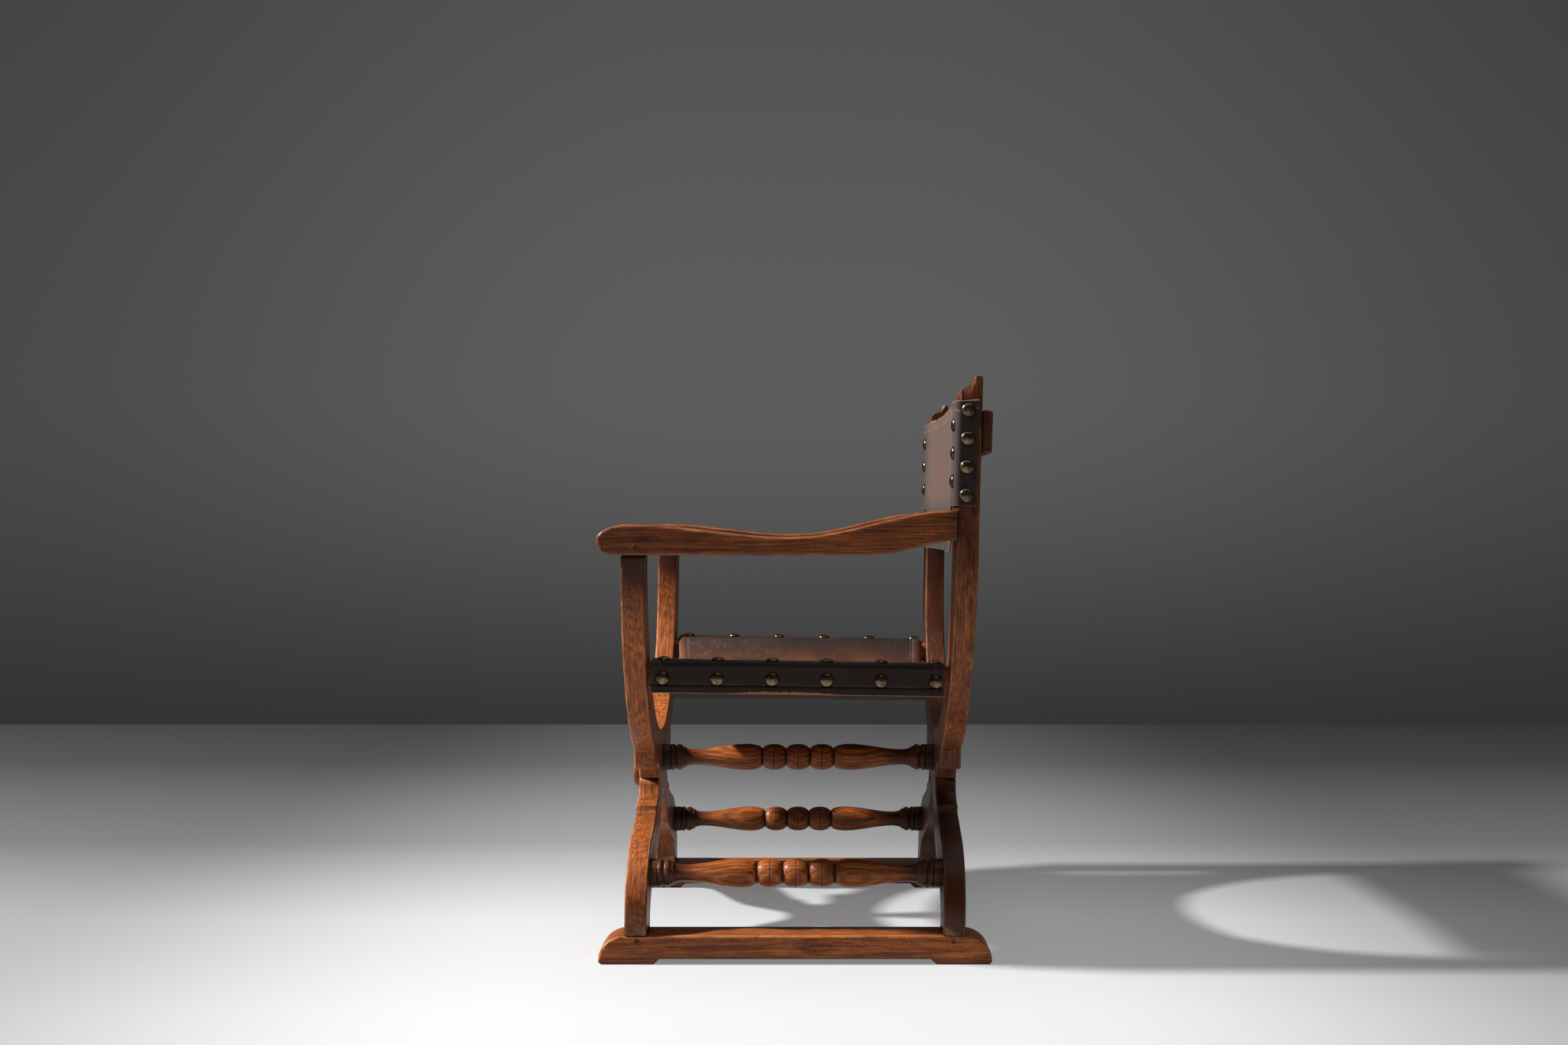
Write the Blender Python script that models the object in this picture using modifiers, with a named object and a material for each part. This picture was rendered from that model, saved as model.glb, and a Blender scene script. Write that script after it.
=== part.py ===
"""X-frame throne chair in stained oak, with a slung leather seat and a leather back.

Two flat cross frames, front and rear, stand on sled feet. Each frame is a pair of S-shaped legs that are
half-lapped at the waist. The rear pair is raked and runs up as the back uprights. Turned stretchers, seat
rails and arms tie the frames together, and domed nails hold the leather.

Metres, +Z up, the sitter faces -Y, the origin is on the floor under the middle of the feet.
"""

import math

import bmesh
import bpy
from mathutils import Matrix, Vector

# Clearances and edges
GAP = 0.0003
EDGE = 0.0025
MARGIN = 0.01

# Cross frames as a whole
CHAIR_HEIGHT = 0.8975
FRAME_THICKNESS = 0.034
FRONT_FACE_Y = -0.2613
REAR_FACE_Y = 0.2594
BACK_RAKE = math.radians(1.5)

# Cross-leg outline: the upper bow and the post
POST_OUTER = 0.320
POST_WIDTH = 0.065
BOW_Z = 0.620
BOW_CENTRE_X = 0.050
BOW_DEPTH = 0.331
HORN_X = 0.140

# Cross-leg outline: the waist, with a cove on each side
WAIST_Z = 0.250
WAIST_HALF = 0.067
CROTCH_RISE = 0.076
ARCH_DROP = 0.024
HORN_RISE = 0.0275
COVE_X = 0.110
CUSP_DROP = 0.036
CUSP_EDGE = 0.0106

# Cross-leg outline: the knee, the shin and the arch between the feet
KNEE_X = 0.140
KNEE_Z = 0.066
KNEE_RISE = 0.120
KNEE_SWEEP = 75
LEG_OUTER = 0.2734
LEG_WIDTH = 0.056
ARCH_SPRING_Z = 0.060
ARCH_SHAPE = ((0.90, 0.20), (0.65, 0.35), (0.37, 0.53), (0.14, 0.87))

# Moulded top of the back uprights
NUB = 0.012
NOTCH = 0.002
OVOLO_DROP = 0.032
OVOLO_HEIGHT = 0.018

# Sled feet
FOOT_HALF = 0.3016
FOOT_HEIGHT = 0.044
SHOULDER_LENGTH = 0.041
SHOULDER_HEIGHT = 0.037
PAD_INNER = 0.217
ARCH_SLOPE = 0.009
ARCH_RELIEF = 0.008
TOE_CHAMFER = 0.004

# Tenons: width across, thickness and length
FOOT_TENON = (0.030, 0.016, 0.024)
ARM_POST_TENON = (0.034, 0.018, 0.020)
ARM_BACK_TENON = (0.030, 0.022, 0.020)
RAIL_TENON = (0.024, 0.016, 0.020)
STRETCHER_TENON_RADIUS = 0.0125
STRETCHER_TENON_LENGTH = 0.020

# Turned boss on the front crossing
BOSS_RADIUS = 0.028
BOSS_HEIGHT = 0.016
BOSS_RIM = 0.007
BOSS_CROWN = 0.001
BOSS_ABOVE_WAIST = 0.005
SPIGOT_RADIUS = 0.009
SPIGOT_LENGTH = 0.010

# Turned stretchers
STRETCHER_CENTRE_Z = 0.276
STRETCHER_SIDE_X = 0.219
STRETCHER_SIDE_Z = 0.128
BEAD_RADIUS = 0.022
BEAD_HALF = 0.0203
VALLEY_RADIUS = 0.0147
GROOVE_RADIUS = 0.019
GROOVE_HALF = 0.002
VASE_RADIUS = 0.0222
VASE_SWELL = 0.026
NECK_RADIUS = 0.013
NECK_LENGTH = 0.033
COLLAR_RADIUS = 0.0197
COLLAR_LENGTH = 0.016
RING_RADIUS = 0.0215
RING_PLACE = 0.010
FILLET_PLACE = 0.005
BLOCK_RADIUS = 0.0222
BLOCK_LENGTH = 0.021
TURNED_STEPS = 12

# Arms, seen from the side
ARM_OVERHANG = 0.008
ARM_WIDTH = 0.070
ARM_BOTTOM_Z = 0.627
ARM_NOSE_Y = -0.2974
ARM_NOSE_LENGTH = 0.048
ARM_KNUCKLE_RISE = 0.0466
ARM_DIP_Y = -0.009
ARM_DIP_RISE = 0.027
ARM_REAR_TOP_RISE = 0.0692
ARM_REAR_BOTTOM_RISE = 0.0224
ARM_CURL_LENGTH = 0.140
ARM_EDGE = 0.004

# Seat rails and the slung leather
RAIL_TOP_Z = 0.4565
RAIL_HEIGHT = 0.034
RAIL_WIDTH = 0.044
RAIL_SETBACK = 0.056
RAIL_ROUND = 0.012
RAIL_CORNER = 0.003
SEAT_PITCH = math.radians(0.8)
SEAT_LEATHER = 0.004
SLING_ANGLE = math.radians(34.7)
FLAP_LENGTH = 0.044
SEAT_FRONT_CLEAR = 0.007
SEAT_REAR_CLEAR = 0.009
FRONT_HOLLOW = 0.0145
REAR_HOLLOW = 0.008
SEAT_ROWS = 5
SLING_STEPS = 8

# Back leather, in the plane of the rear frame
BACK_LEATHER = 0.0035
BACK_TOP_DROP = 0.0365
BACK_NOTCH_CLEAR = 0.0048
BACK_BOTTOM_CLEAR = 0.003
BACK_TAB = 0.029
BACK_INSET = 0.005
BACK_BELLY = 0.010
BACK_STEPS = 6
BACK_ROWS = 3

# Board behind the uprights
BRACE_THICKNESS = 0.0167
BRACE_HEIGHT = 0.065
BRACE_TOP_DROP = 0.0515
BRACE_INSET = 0.008
BRACE_EDGE = 0.003

# Domed nails
NAIL_RADIUS = 0.0105
NAIL_HEIGHT = 0.006
NAIL_STEPS = 8
SHANK_RADIUS = 0.0021
SHANK_LENGTH = 0.015
SEAT_NAIL_PITCH = 0.084
SEAT_NAIL_FRONT = 0.0175
SEAT_NAIL_REAR = 0.012
SEAT_NAIL_INSET = 0.014
SEAT_NAIL_DROP = 0.0214
BACK_NAIL_PITCH = 0.043
BACK_NAIL_MARGIN = 0.016
BACK_NAIL_SETBACK = 0.0125

# Colour, roughness and metallic value of each material
FINISHES = {
    "stained_oak": ((0.105, 0.040, 0.018), 0.42, 0.0),
    "dark_leather": ((0.030, 0.016, 0.011), 0.35, 0.0),
    "aged_brass": ((0.190, 0.110, 0.050), 0.40, 1.0),
}

FRONT_INNER_Y = FRONT_FACE_Y + FRAME_THICKNESS
FRONT_MID_Y = FRONT_FACE_Y + FRAME_THICKNESS / 2
REAR_MID_Y = REAR_FACE_Y - FRAME_THICKNESS / 2
POST_INNER = POST_OUTER - POST_WIDTH
LEG_INNER = LEG_OUTER - LEG_WIDTH
LEG_MID = LEG_OUTER - LEG_WIDTH / 2
CROTCH_Z = WAIST_Z + CROTCH_RISE
ARCH_CROWN_Z = WAIST_Z - ARCH_DROP
RAIL_OUTER = POST_OUTER - RAIL_SETBACK
RAIL_INNER = RAIL_OUTER - RAIL_WIDTH
RAIL_MID = RAIL_OUTER - RAIL_WIDTH / 2
BACK_TOP_Z = CHAIR_HEIGHT - BACK_TOP_DROP
BACK_NOTCH_Z = ARM_BOTTOM_Z + ARM_REAR_TOP_RISE + BACK_NOTCH_CLEAR
BACK_BOTTOM_Z = ARM_BOTTOM_Z + BACK_BOTTOM_CLEAR
BRACE_TOP_Z = CHAIR_HEIGHT - BRACE_TOP_DROP
SIDES = {"left": 1, "right": -1}

# Plane turns: an outline's first and second number become X and Z, or Y and Z
FRONT_VIEW = Matrix.Rotation(math.pi / 2, 4, "X")
SIDE_VIEW = Matrix(((0, 0, 1, 0), (1, 0, 0, 0), (0, 1, 0, 0), (0, 0, 0, 1)))


def rear_front_y(z):
    """Y of the rear frame's front face at a height."""
    lean = math.sin(BACK_RAKE) * z - FRAME_THICKNESS / 2
    return REAR_MID_Y + lean / math.cos(BACK_RAKE)


# Shared modelling helpers


def arc(centre, radii, start, end, steps):
    """Points of an elliptical arc between two angles in degrees."""
    angles = [math.radians(start + (end - start) * i / steps) for i in range(steps + 1)]
    return [(centre[0] + radii[0] * math.cos(t), centre[1] + radii[1] * math.sin(t)) for t in angles]


def smooth(points, steps):
    """A smooth run through a few points, with a number of steps between each two."""
    ends = [Vector(points[0]) * 2 - Vector(points[1]), Vector(points[-1]) * 2 - Vector(points[-2])]
    knots = [ends[0], *(Vector(p) for p in points), ends[1]]
    run = []
    for a, b, c, d in zip(knots, knots[1:], knots[2:], knots[3:]):
        for i in range(steps):
            t = i / steps
            bend = (a * 2 - b * 5 + c * 4 - d) * t * t + (b * 3 - a - c * 3 + d) * t**3
            run.append(tuple((b * 2 + (c - a) * t + bend) / 2))
    return [*run, tuple(points[-1])]


def mirrored(points):
    return [(-a, b) for a, b in points]


def ease(start, end, share):
    """Value between two ends that leaves and arrives level."""
    return end + (start - end) * (1 + math.cos(math.pi * share)) / 2


def add_object(name, mesh, parent=None, collection=None):
    obj = bpy.data.objects.new(name, mesh)
    (collection or CHAIR).objects.link(obj)
    obj.parent = parent
    return obj


def mesh_of(name, shape):
    mesh = bpy.data.meshes.new(name)
    shape.to_mesh(mesh)
    shape.free()
    return mesh


def block_mesh(name, low, high):
    """A box between two opposite corners."""
    low, high = Vector(low), Vector(high)
    shape = bmesh.new()
    place = Matrix.Translation((low + high) / 2) @ Matrix.Diagonal((*(high - low), 1))
    bmesh.ops.create_cube(shape, size=1, matrix=place)
    return mesh_of(name, shape)


def rod_mesh(name, radius, start, end):
    """A round rod between two points."""
    start, end = Vector(start), Vector(end)
    shape = bmesh.new()
    turn = (end - start).to_track_quat("Z", "Y").to_matrix().to_4x4()
    bmesh.ops.create_cone(
        shape,
        cap_ends=True,
        segments=TURNED_STEPS,
        radius1=radius,
        radius2=radius,
        depth=(end - start).length,
        matrix=Matrix.Translation((start + end) / 2) @ turn,
    )
    return mesh_of(name, shape)


def plate_mesh(name, outline, thickness, view, middle=(0, 0, 0)):
    """A flat outline given a thickness, its mid-plane on a point."""
    curve = bpy.data.curves.new(name, "CURVE")
    curve.dimensions = "2D"
    curve.fill_mode = "BOTH"
    curve.extrude = thickness / 2
    spline = curve.splines.new("POLY")
    spline.points.add(len(outline) - 1)
    for point, (a, b) in zip(spline.points, outline):
        point.co = (a, b, 0, 1)
    spline.use_cyclic_u = True
    guide = add_object(name + "_outline", curve, collection=CUTTERS)
    bpy.context.view_layer.update()
    graph = bpy.context.evaluated_depsgraph_get()
    flat = bpy.data.meshes.new_from_object(guide.evaluated_get(graph))
    bpy.data.objects.remove(guide)
    shape = bmesh.new()
    shape.from_mesh(flat)
    bpy.data.meshes.remove(flat)
    bmesh.ops.remove_doubles(shape, verts=shape.verts, dist=1e-6)
    bmesh.ops.dissolve_limit(shape, angle_limit=1e-3, verts=shape.verts, edges=shape.edges)
    bmesh.ops.transform(shape, matrix=Matrix.Translation(middle) @ view, verts=shape.verts)
    bmesh.ops.recalc_face_normals(shape, faces=shape.faces)
    return mesh_of(name, shape)


def turn_on_lathe(obj, steps):
    """Spin an object's profile round its own Z axis."""
    screw = obj.modifiers.new("turn", "SCREW")
    screw.axis = "Z"
    screw.steps = screw.render_steps = steps
    screw.use_merge_vertices = True
    screw.merge_threshold = 1e-5
    screw.use_smooth_shade = True


def profile_mesh(name, profile):
    """Open profile of (radius, height) points, listed from the top down the outer side."""
    mesh = bpy.data.meshes.new(name)
    edges = [(i, i + 1) for i in range(len(profile) - 1)]
    mesh.from_pydata([(r, 0, h) for r, h in profile], edges, [])
    return mesh


def round_edges(obj, width, segments=1):
    bevel = obj.modifiers.new("edges", "BEVEL")
    bevel.width = width
    bevel.segments = segments
    bevel.limit_method = "ANGLE"
    bevel.angle_limit = math.radians(50)


def combine(obj, other, operation):
    boolean = obj.modifiers.new(other.name, "BOOLEAN")
    boolean.operation = operation
    boolean.object = other


def cutter(name, mesh, parent=None):
    obj = add_object(name, mesh, parent, CUTTERS)
    obj.hide_render = True
    obj.display_type = "WIRE"
    return obj


def tenon_between(male, females, name, low, high, parent=None):
    """Join a square tenon to one piece and cut its mortise in the others."""
    combine(male, cutter(name, block_mesh(name, low, high), parent), "UNION")
    wider_low = [a - GAP for a in low]
    wider_high = [b + GAP for b in high]
    hole = cutter(name + "_mortise", block_mesh(name + "_mortise", wider_low, wider_high), parent)
    for female in females:
        combine(female, hole, "DIFFERENCE")


def round_tenon_between(male, females, name, radius, start, end):
    """Join a round tenon to one piece and bore its hole in the others. The tenon's tip is at end."""
    combine(male, cutter(name, rod_mesh(name, radius, start, end)), "UNION")
    tip = Vector(end) + (Vector(end) - Vector(start)).normalized() * GAP
    hole = cutter(name + "_bore", rod_mesh(name + "_bore", radius + GAP, start, tip))
    for female in females:
        combine(female, hole, "DIFFERENCE")


def make_finishes():
    for name, (colour, roughness, metallic) in FINISHES.items():
        material = bpy.data.materials.new(name)
        material.use_nodes = True
        shader = material.node_tree.nodes["Principled BSDF"]
        shader.inputs["Base Color"].default_value = (*colour, 1)
        shader.inputs["Roughness"].default_value = roughness
        shader.inputs["Metallic"].default_value = metallic


def finish(obj, material):
    obj.data.materials.append(bpy.data.materials[material])
    return obj


# Cross legs


def cross_leg_outline(top, bottom):
    """One S-shaped leg: its foot at +X, its waist on the centre line, its post at -X."""
    sweep = math.degrees(math.acos((HORN_X - BOW_CENTRE_X) / (POST_OUTER - BOW_CENTRE_X)))
    cove = (COVE_X - WAIST_HALF, CUSP_DROP)
    cove_sweep = math.degrees(math.asin(HORN_RISE / CUSP_DROP))
    arch_height = ARCH_CROWN_Z - ARCH_SPRING_Z
    arch = [(LEG_INNER * a, ARCH_SPRING_Z + arch_height * b) for a, b in ARCH_SHAPE]
    inner_bow = arc((0, BOW_Z), (POST_INNER, BOW_Z - CROTCH_Z), 180, 270, 16)
    lower_cove = arc((COVE_X, WAIST_Z), cove, 180, 270, 5)
    knee = arc((KNEE_X, KNEE_Z), (LEG_OUTER - KNEE_X, KNEE_RISE), KNEE_SWEEP, 0, 10)
    underside = smooth([(LEG_INNER, ARCH_SPRING_Z), *arch, (0, ARCH_CROWN_Z)], 2)
    upper_cove = mirrored(arc((COVE_X, WAIST_Z), cove, 180, 180 - cove_sweep, 4))
    outer_bow = arc((BOW_CENTRE_X, BOW_Z), (POST_OUTER - BOW_CENTRE_X, BOW_DEPTH), -sweep, 0, 14)
    return [
        (-POST_INNER, top),
        *inner_bow,
        *lower_cove,
        (COVE_X, WAIST_Z - CUSP_DROP - CUSP_EDGE),
        *knee,
        (LEG_OUTER, bottom),
        (LEG_INNER, bottom),
        *underside,
        *upper_cove,
        (-HORN_X, WAIST_Z + HORN_RISE),
        *mirrored(outer_bow),
        (-POST_OUTER, top),
    ]


def lap_cutter(name, low_y, high_y, parent):
    """The lozenge that both legs of a frame share, taken out of half the thickness."""
    spare = 2 * GAP
    lozenge = [
        (0, CROTCH_Z + spare),
        (WAIST_HALF + spare, WAIST_Z),
        (0, ARCH_CROWN_Z - spare),
        (-WAIST_HALF - spare, WAIST_Z),
    ]
    middle = (0, (low_y + high_y) / 2, 0)
    return cutter(name, plate_mesh(name, lozenge, high_y - low_y, FRONT_VIEW, middle), parent)


def cross_frame(which, top, parent):
    """A pair of half-lapped legs, modelled about the frame's own mid-plane."""
    legs = {}
    outline = cross_leg_outline(top, FOOT_HEIGHT - MARGIN)
    outside = FRAME_THICKNESS / 2 + MARGIN
    laps = {"left": (-GAP / 2, outside), "right": (-outside, GAP / 2)}
    shoulder = (-1, FRONT_FACE_Y - 1, -1), (1, REAR_FACE_Y + 1, FOOT_HEIGHT + GAP)
    under = cutter(which + "_foot_shoulder", block_mesh(which + "_foot_shoulder", *shoulder))
    for side, sign in SIDES.items():
        name = f"{which}_cross_leg_{side}"
        points = outline if sign > 0 else mirrored(outline)
        leg = add_object(name, plate_mesh(name, points, FRAME_THICKNESS, FRONT_VIEW), parent)
        round_edges(leg, EDGE)
        combine(leg, lap_cutter(name + "_lap", *laps[side], parent), "DIFFERENCE")
        combine(leg, under, "DIFFERENCE")
        legs[side] = finish(leg, "stained_oak")
    return legs


def upright_top_cutter(parent):
    """What is taken off the top of the uprights: it leaves a nub at the back and an ovolo in front."""
    half = FRAME_THICKNESS / 2
    ovolo_z = CHAIR_HEIGHT - OVOLO_DROP
    ovolo_back = half - NUB - NOTCH
    nub = NUB / 2
    above = CHAIR_HEIGHT + 2 * MARGIN
    outline = [
        (-half - MARGIN, above),
        (-half - MARGIN, ovolo_z),
        *arc((ovolo_back, ovolo_z), (half + ovolo_back, OVOLO_HEIGHT), 180, 90, 6),
        (half - NUB, ovolo_z + OVOLO_HEIGHT),
        *arc((half - nub, CHAIR_HEIGHT - nub), (nub, nub), 180, 0, 8),
        (half + MARGIN, CHAIR_HEIGHT - nub),
        (half + MARGIN, above),
    ]
    width = 2 * (POST_OUTER + MARGIN)
    return cutter("upright_top", plate_mesh("upright_top", outline, width, SIDE_VIEW), parent)


# Feet


def foot_rail(side, sign):
    centre = (FOOT_HALF - SHOULDER_LENGTH, FOOT_HEIGHT - SHOULDER_HEIGHT)
    half = [
        *arc(centre, (SHOULDER_LENGTH, SHOULDER_HEIGHT), 90, 0, 7),
        (FOOT_HALF, TOE_CHAMFER),
        (FOOT_HALF - TOE_CHAMFER, 0),
        (PAD_INNER, 0),
        (PAD_INNER - ARCH_SLOPE, ARCH_RELIEF),
    ]
    outline = half + mirrored(half)[::-1]
    name = f"foot_rail_{side}"
    foot = add_object(name, plate_mesh(name, outline, LEG_WIDTH, SIDE_VIEW, (sign * LEG_MID, 0, 0)))
    round_edges(foot, EDGE)
    return finish(foot, "stained_oak")


def join_leg_to_foot(leg, foot, name, sign, y):
    width, thickness, length = FOOT_TENON
    low = (sign * LEG_MID - width / 2, y - thickness / 2, FOOT_HEIGHT - length)
    high = (sign * LEG_MID + width / 2, y + thickness / 2, FOOT_HEIGHT + MARGIN)
    tenon_between(leg, [foot], name, low, high)


# Arms


def arm(side, sign):
    """Side outline with a rounded nose, a dip for the elbow and an upswept rear end."""
    rear_y = rear_front_y(ARM_BOTTOM_Z) + MARGIN
    knuckle = ARM_BOTTOM_Z + ARM_KNUCKLE_RISE
    dip = ARM_BOTTOM_Z + ARM_DIP_RISE
    rear_top = ARM_BOTTOM_Z + ARM_REAR_TOP_RISE
    rear_bottom = ARM_BOTTOM_Z + ARM_REAR_BOTTOM_RISE
    nose_z = ARM_BOTTOM_Z + ARM_KNUCKLE_RISE / 2
    nose_y = ARM_NOSE_Y + ARM_NOSE_LENGTH
    shares = [i / 8 for i in range(1, 9)]
    nose_top = arc((nose_y, nose_z), (ARM_NOSE_LENGTH, knuckle - nose_z), 180, 90, 8)
    fall = [(nose_y + (ARM_DIP_Y - nose_y) * s, ease(knuckle, dip, s)) for s in shares]
    rise = [(ARM_DIP_Y + (rear_y - ARM_DIP_Y) * s, ease(dip, rear_top, s)) for s in shares]
    curl = [(rear_y - ARM_CURL_LENGTH * s, ease(rear_bottom, ARM_BOTTOM_Z, s)) for s in shares]
    chin = ARM_KNUCKLE_RISE / 2
    nose_bottom = arc((ARM_NOSE_Y + chin, nose_z), (chin, nose_z - ARM_BOTTOM_Z), 270, 180, 4)
    outline = [*nose_top, *fall, *rise, (rear_y, rear_bottom), *curl, *nose_bottom[:-1]]
    name = f"arm_{side}"
    middle = (sign * (POST_OUTER + ARM_OVERHANG - ARM_WIDTH / 2), 0, 0)
    piece = add_object(name, plate_mesh(name, outline, ARM_WIDTH, SIDE_VIEW, middle))
    round_edges(piece, ARM_EDGE, 2)
    combine(piece, REAR_SLAB, "DIFFERENCE")
    return finish(piece, "stained_oak")


def join_arm(piece, front_leg, rear_leg, name, sign):
    post_x = sign * (POST_OUTER - POST_WIDTH / 2)
    width, thickness, length = ARM_POST_TENON
    low = (post_x - width / 2, FRONT_MID_Y - thickness / 2, ARM_BOTTOM_Z - MARGIN)
    high = (post_x + width / 2, FRONT_MID_Y + thickness / 2, ARM_BOTTOM_Z + length)
    tenon_between(front_leg, [piece], name + "_post_tenon", low, high)
    width, height, length = ARM_BACK_TENON
    mid_z = ARM_BOTTOM_Z + (ARM_REAR_TOP_RISE + ARM_REAR_BOTTOM_RISE) / 2
    seat_y = rear_front_y(mid_z)
    low = (post_x - width / 2, seat_y - MARGIN, mid_z - height / 2)
    high = (post_x + width / 2, seat_y + length, mid_z + height / 2)
    tenon_between(piece, [rear_leg], name + "_back_tenon", low, high)


# Stretchers and boss


def bead(centre, start, end):
    """Half of a bead, from (place along the stretcher, radius) at one angle to another."""
    return arc((centre, VALLEY_RADIUS), (BEAD_HALF, BEAD_RADIUS - VALLEY_RADIUS), start, end, 3)


def stretcher_profile(half):
    """Half profile from the middle to an end, as (place, radius): the vase takes up the length."""
    crest = math.degrees(math.acos(GROOVE_HALF / BEAD_HALF))
    second = 2 * BEAD_HALF
    vase_start = 3 * BEAD_HALF
    vase = vase_start + VASE_SWELL
    block = half - BLOCK_LENGTH
    neck = block - NECK_LENGTH
    collar = block - COLLAR_LENGTH
    shares = [i / 6 for i in range(1, 7)]
    swell = arc((vase, VALLEY_RADIUS), (VASE_SWELL, VASE_RADIUS - VALLEY_RADIUS), 180, 90, 4)
    taper = [(vase + (neck - vase) * s, ease(VASE_RADIUS, NECK_RADIUS, s)) for s in shares]
    cove = arc((neck, COLLAR_RADIUS), (collar - neck, NECK_RADIUS - COLLAR_RADIUS), 90, 0, 3)
    return [
        (0, GROOVE_RADIUS),
        *bead(0, crest, 0),
        *bead(second, 180, 180 - crest)[1:],
        (second, GROOVE_RADIUS),
        *bead(second, crest, 0),
        *swell[1:],
        *taper,
        *cove[1:],
        (block - RING_PLACE, RING_RADIUS),
        (block - FILLET_PLACE, COLLAR_RADIUS),
        (block, BLOCK_RADIUS),
        (half + MARGIN, BLOCK_RADIUS),
    ]


def stretcher(name, x, z, front_legs, rear_legs):
    """Turned between the frames, trimmed to their faces, with a round tenon at each end."""
    rear_y = rear_front_y(z)
    half = (rear_y - FRONT_INNER_Y) / 2
    run = stretcher_profile(half)
    profile = [(r, u) for u, r in run[::-1]] + [(r, -u) for u, r in run[1:]]
    tip = half + MARGIN
    piece = add_object(name, profile_mesh(name, [(0, tip), *profile, (0, -tip)]))
    turn_on_lathe(piece, TURNED_STEPS)
    piece.rotation_euler = (-math.pi / 2, 0, 0)
    piece.location = (x, FRONT_INNER_Y + half, z)
    combine(piece, FRONT_SLAB, "DIFFERENCE")
    combine(piece, REAR_SLAB, "DIFFERENCE")
    into = STRETCHER_TENON_LENGTH
    front = (x, FRONT_INNER_Y + MARGIN, z), (x, FRONT_INNER_Y - into, z)
    rear = (x, rear_y - MARGIN, z), (x, rear_y + into, z)
    round_tenon_between(piece, front_legs, name + "_front", STRETCHER_TENON_RADIUS, *front)
    round_tenon_between(piece, rear_legs, name + "_rear", STRETCHER_TENON_RADIUS, *rear)
    return finish(piece, "stained_oak")


def crossing_boss(front_legs):
    """Softly domed disc on a spigot, on the front of the crossing."""
    flat = BOSS_RADIUS - BOSS_RIM
    shoulder = BOSS_HEIGHT - BOSS_RIM
    rim = arc((flat, shoulder), (BOSS_RIM, BOSS_RIM - BOSS_CROWN), 90, 0, 5)
    profile = [(0, BOSS_HEIGHT), *rim, (BOSS_RADIUS, GAP), (0, GAP)]
    boss = add_object("crossing_boss", profile_mesh("crossing_boss", profile))
    turn_on_lathe(boss, 2 * TURNED_STEPS)
    centre_z = WAIST_Z + BOSS_ABOVE_WAIST
    boss.rotation_euler = (math.pi / 2, 0, 0)
    boss.location = (0, FRONT_FACE_Y, centre_z)
    start = (0, FRONT_FACE_Y - BOSS_HEIGHT / 2, centre_z)
    end = (0, FRONT_FACE_Y + SPIGOT_LENGTH, centre_z)
    round_tenon_between(boss, front_legs, "boss_spigot", SPIGOT_RADIUS, start, end)
    return finish(boss, "stained_oak")


# Seat: rails and slung leather, tilted together about the middle of the rails' top


def seat_rail(side, sign):
    """Rail with a well rounded inner top edge, which the sling runs over."""
    low = -RAIL_HEIGHT
    section = [
        (RAIL_INNER, low),
        (RAIL_OUTER, low),
        *arc((RAIL_OUTER - RAIL_CORNER, -RAIL_CORNER), (RAIL_CORNER, RAIL_CORNER), 0, 90, 3),
        *arc((RAIL_INNER + RAIL_ROUND, -RAIL_ROUND), (RAIL_ROUND, RAIL_ROUND), 90, 180, 5),
    ]
    section = section if sign > 0 else mirrored(section)
    length = rear_front_y(RAIL_TOP_Z) - FRONT_INNER_Y + 2 * MARGIN
    middle = (0, (rear_front_y(RAIL_TOP_Z) + FRONT_INNER_Y) / 2, 0)
    name = f"seat_rail_{side}"
    rail = add_object(name, plate_mesh(name, section, length, FRONT_VIEW, middle), SEAT_FRAME)
    combine(rail, FRONT_SLAB, "DIFFERENCE")
    combine(rail, REAR_SLAB, "DIFFERENCE")
    return finish(rail, "stained_oak")


def join_rail(rail, front_leg, rear_leg, name, sign):
    width, height, length = RAIL_TENON
    mid_z = RAIL_TOP_Z - RAIL_HEIGHT / 2
    x_span = sign * RAIL_MID - width / 2, sign * RAIL_MID + width / 2
    z_span = mid_z - height / 2, mid_z + height / 2
    for end, leg, root, tip in (
        ("front", front_leg, FRONT_INNER_Y + MARGIN, FRONT_INNER_Y - length),
        ("rear", rear_leg, rear_front_y(mid_z) - MARGIN, rear_front_y(mid_z) + length),
    ):
        low = (x_span[0], min(root, tip), z_span[0])
        high = (x_span[1], max(root, tip), z_span[1])
        tenon_between(rail, [leg], f"{name}_{end}_tenon", low, high)


def seat_section():
    """Half of the leather's inner face from the outer hem to the middle, as (x, z) below the rail top."""
    outer = RAIL_OUTER + GAP
    corner = RAIL_CORNER + GAP
    over = RAIL_ROUND + GAP
    roll = math.degrees(SLING_ANGLE)
    round_over = arc((RAIL_INNER + RAIL_ROUND, -RAIL_ROUND), (over, over), 90, 90 + roll, 4)
    leave_x, leave_z = round_over[-1]
    steepness = math.tan(SLING_ANGLE) / (2 * leave_x)
    places = [leave_x * (1 - i / SLING_STEPS) for i in range(1, SLING_STEPS + 1)]
    sling = [(x, leave_z - steepness * (leave_x**2 - x**2)) for x in places]
    return [
        (outer, -FLAP_LENGTH),
        (outer, -SEAT_NAIL_DROP),
        *arc((RAIL_OUTER - RAIL_CORNER, -RAIL_CORNER), (corner, corner), 0, 90, 3),
        (RAIL_OUTER - SEAT_NAIL_INSET, GAP),
        *round_over,
        *sling,
    ]


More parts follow.
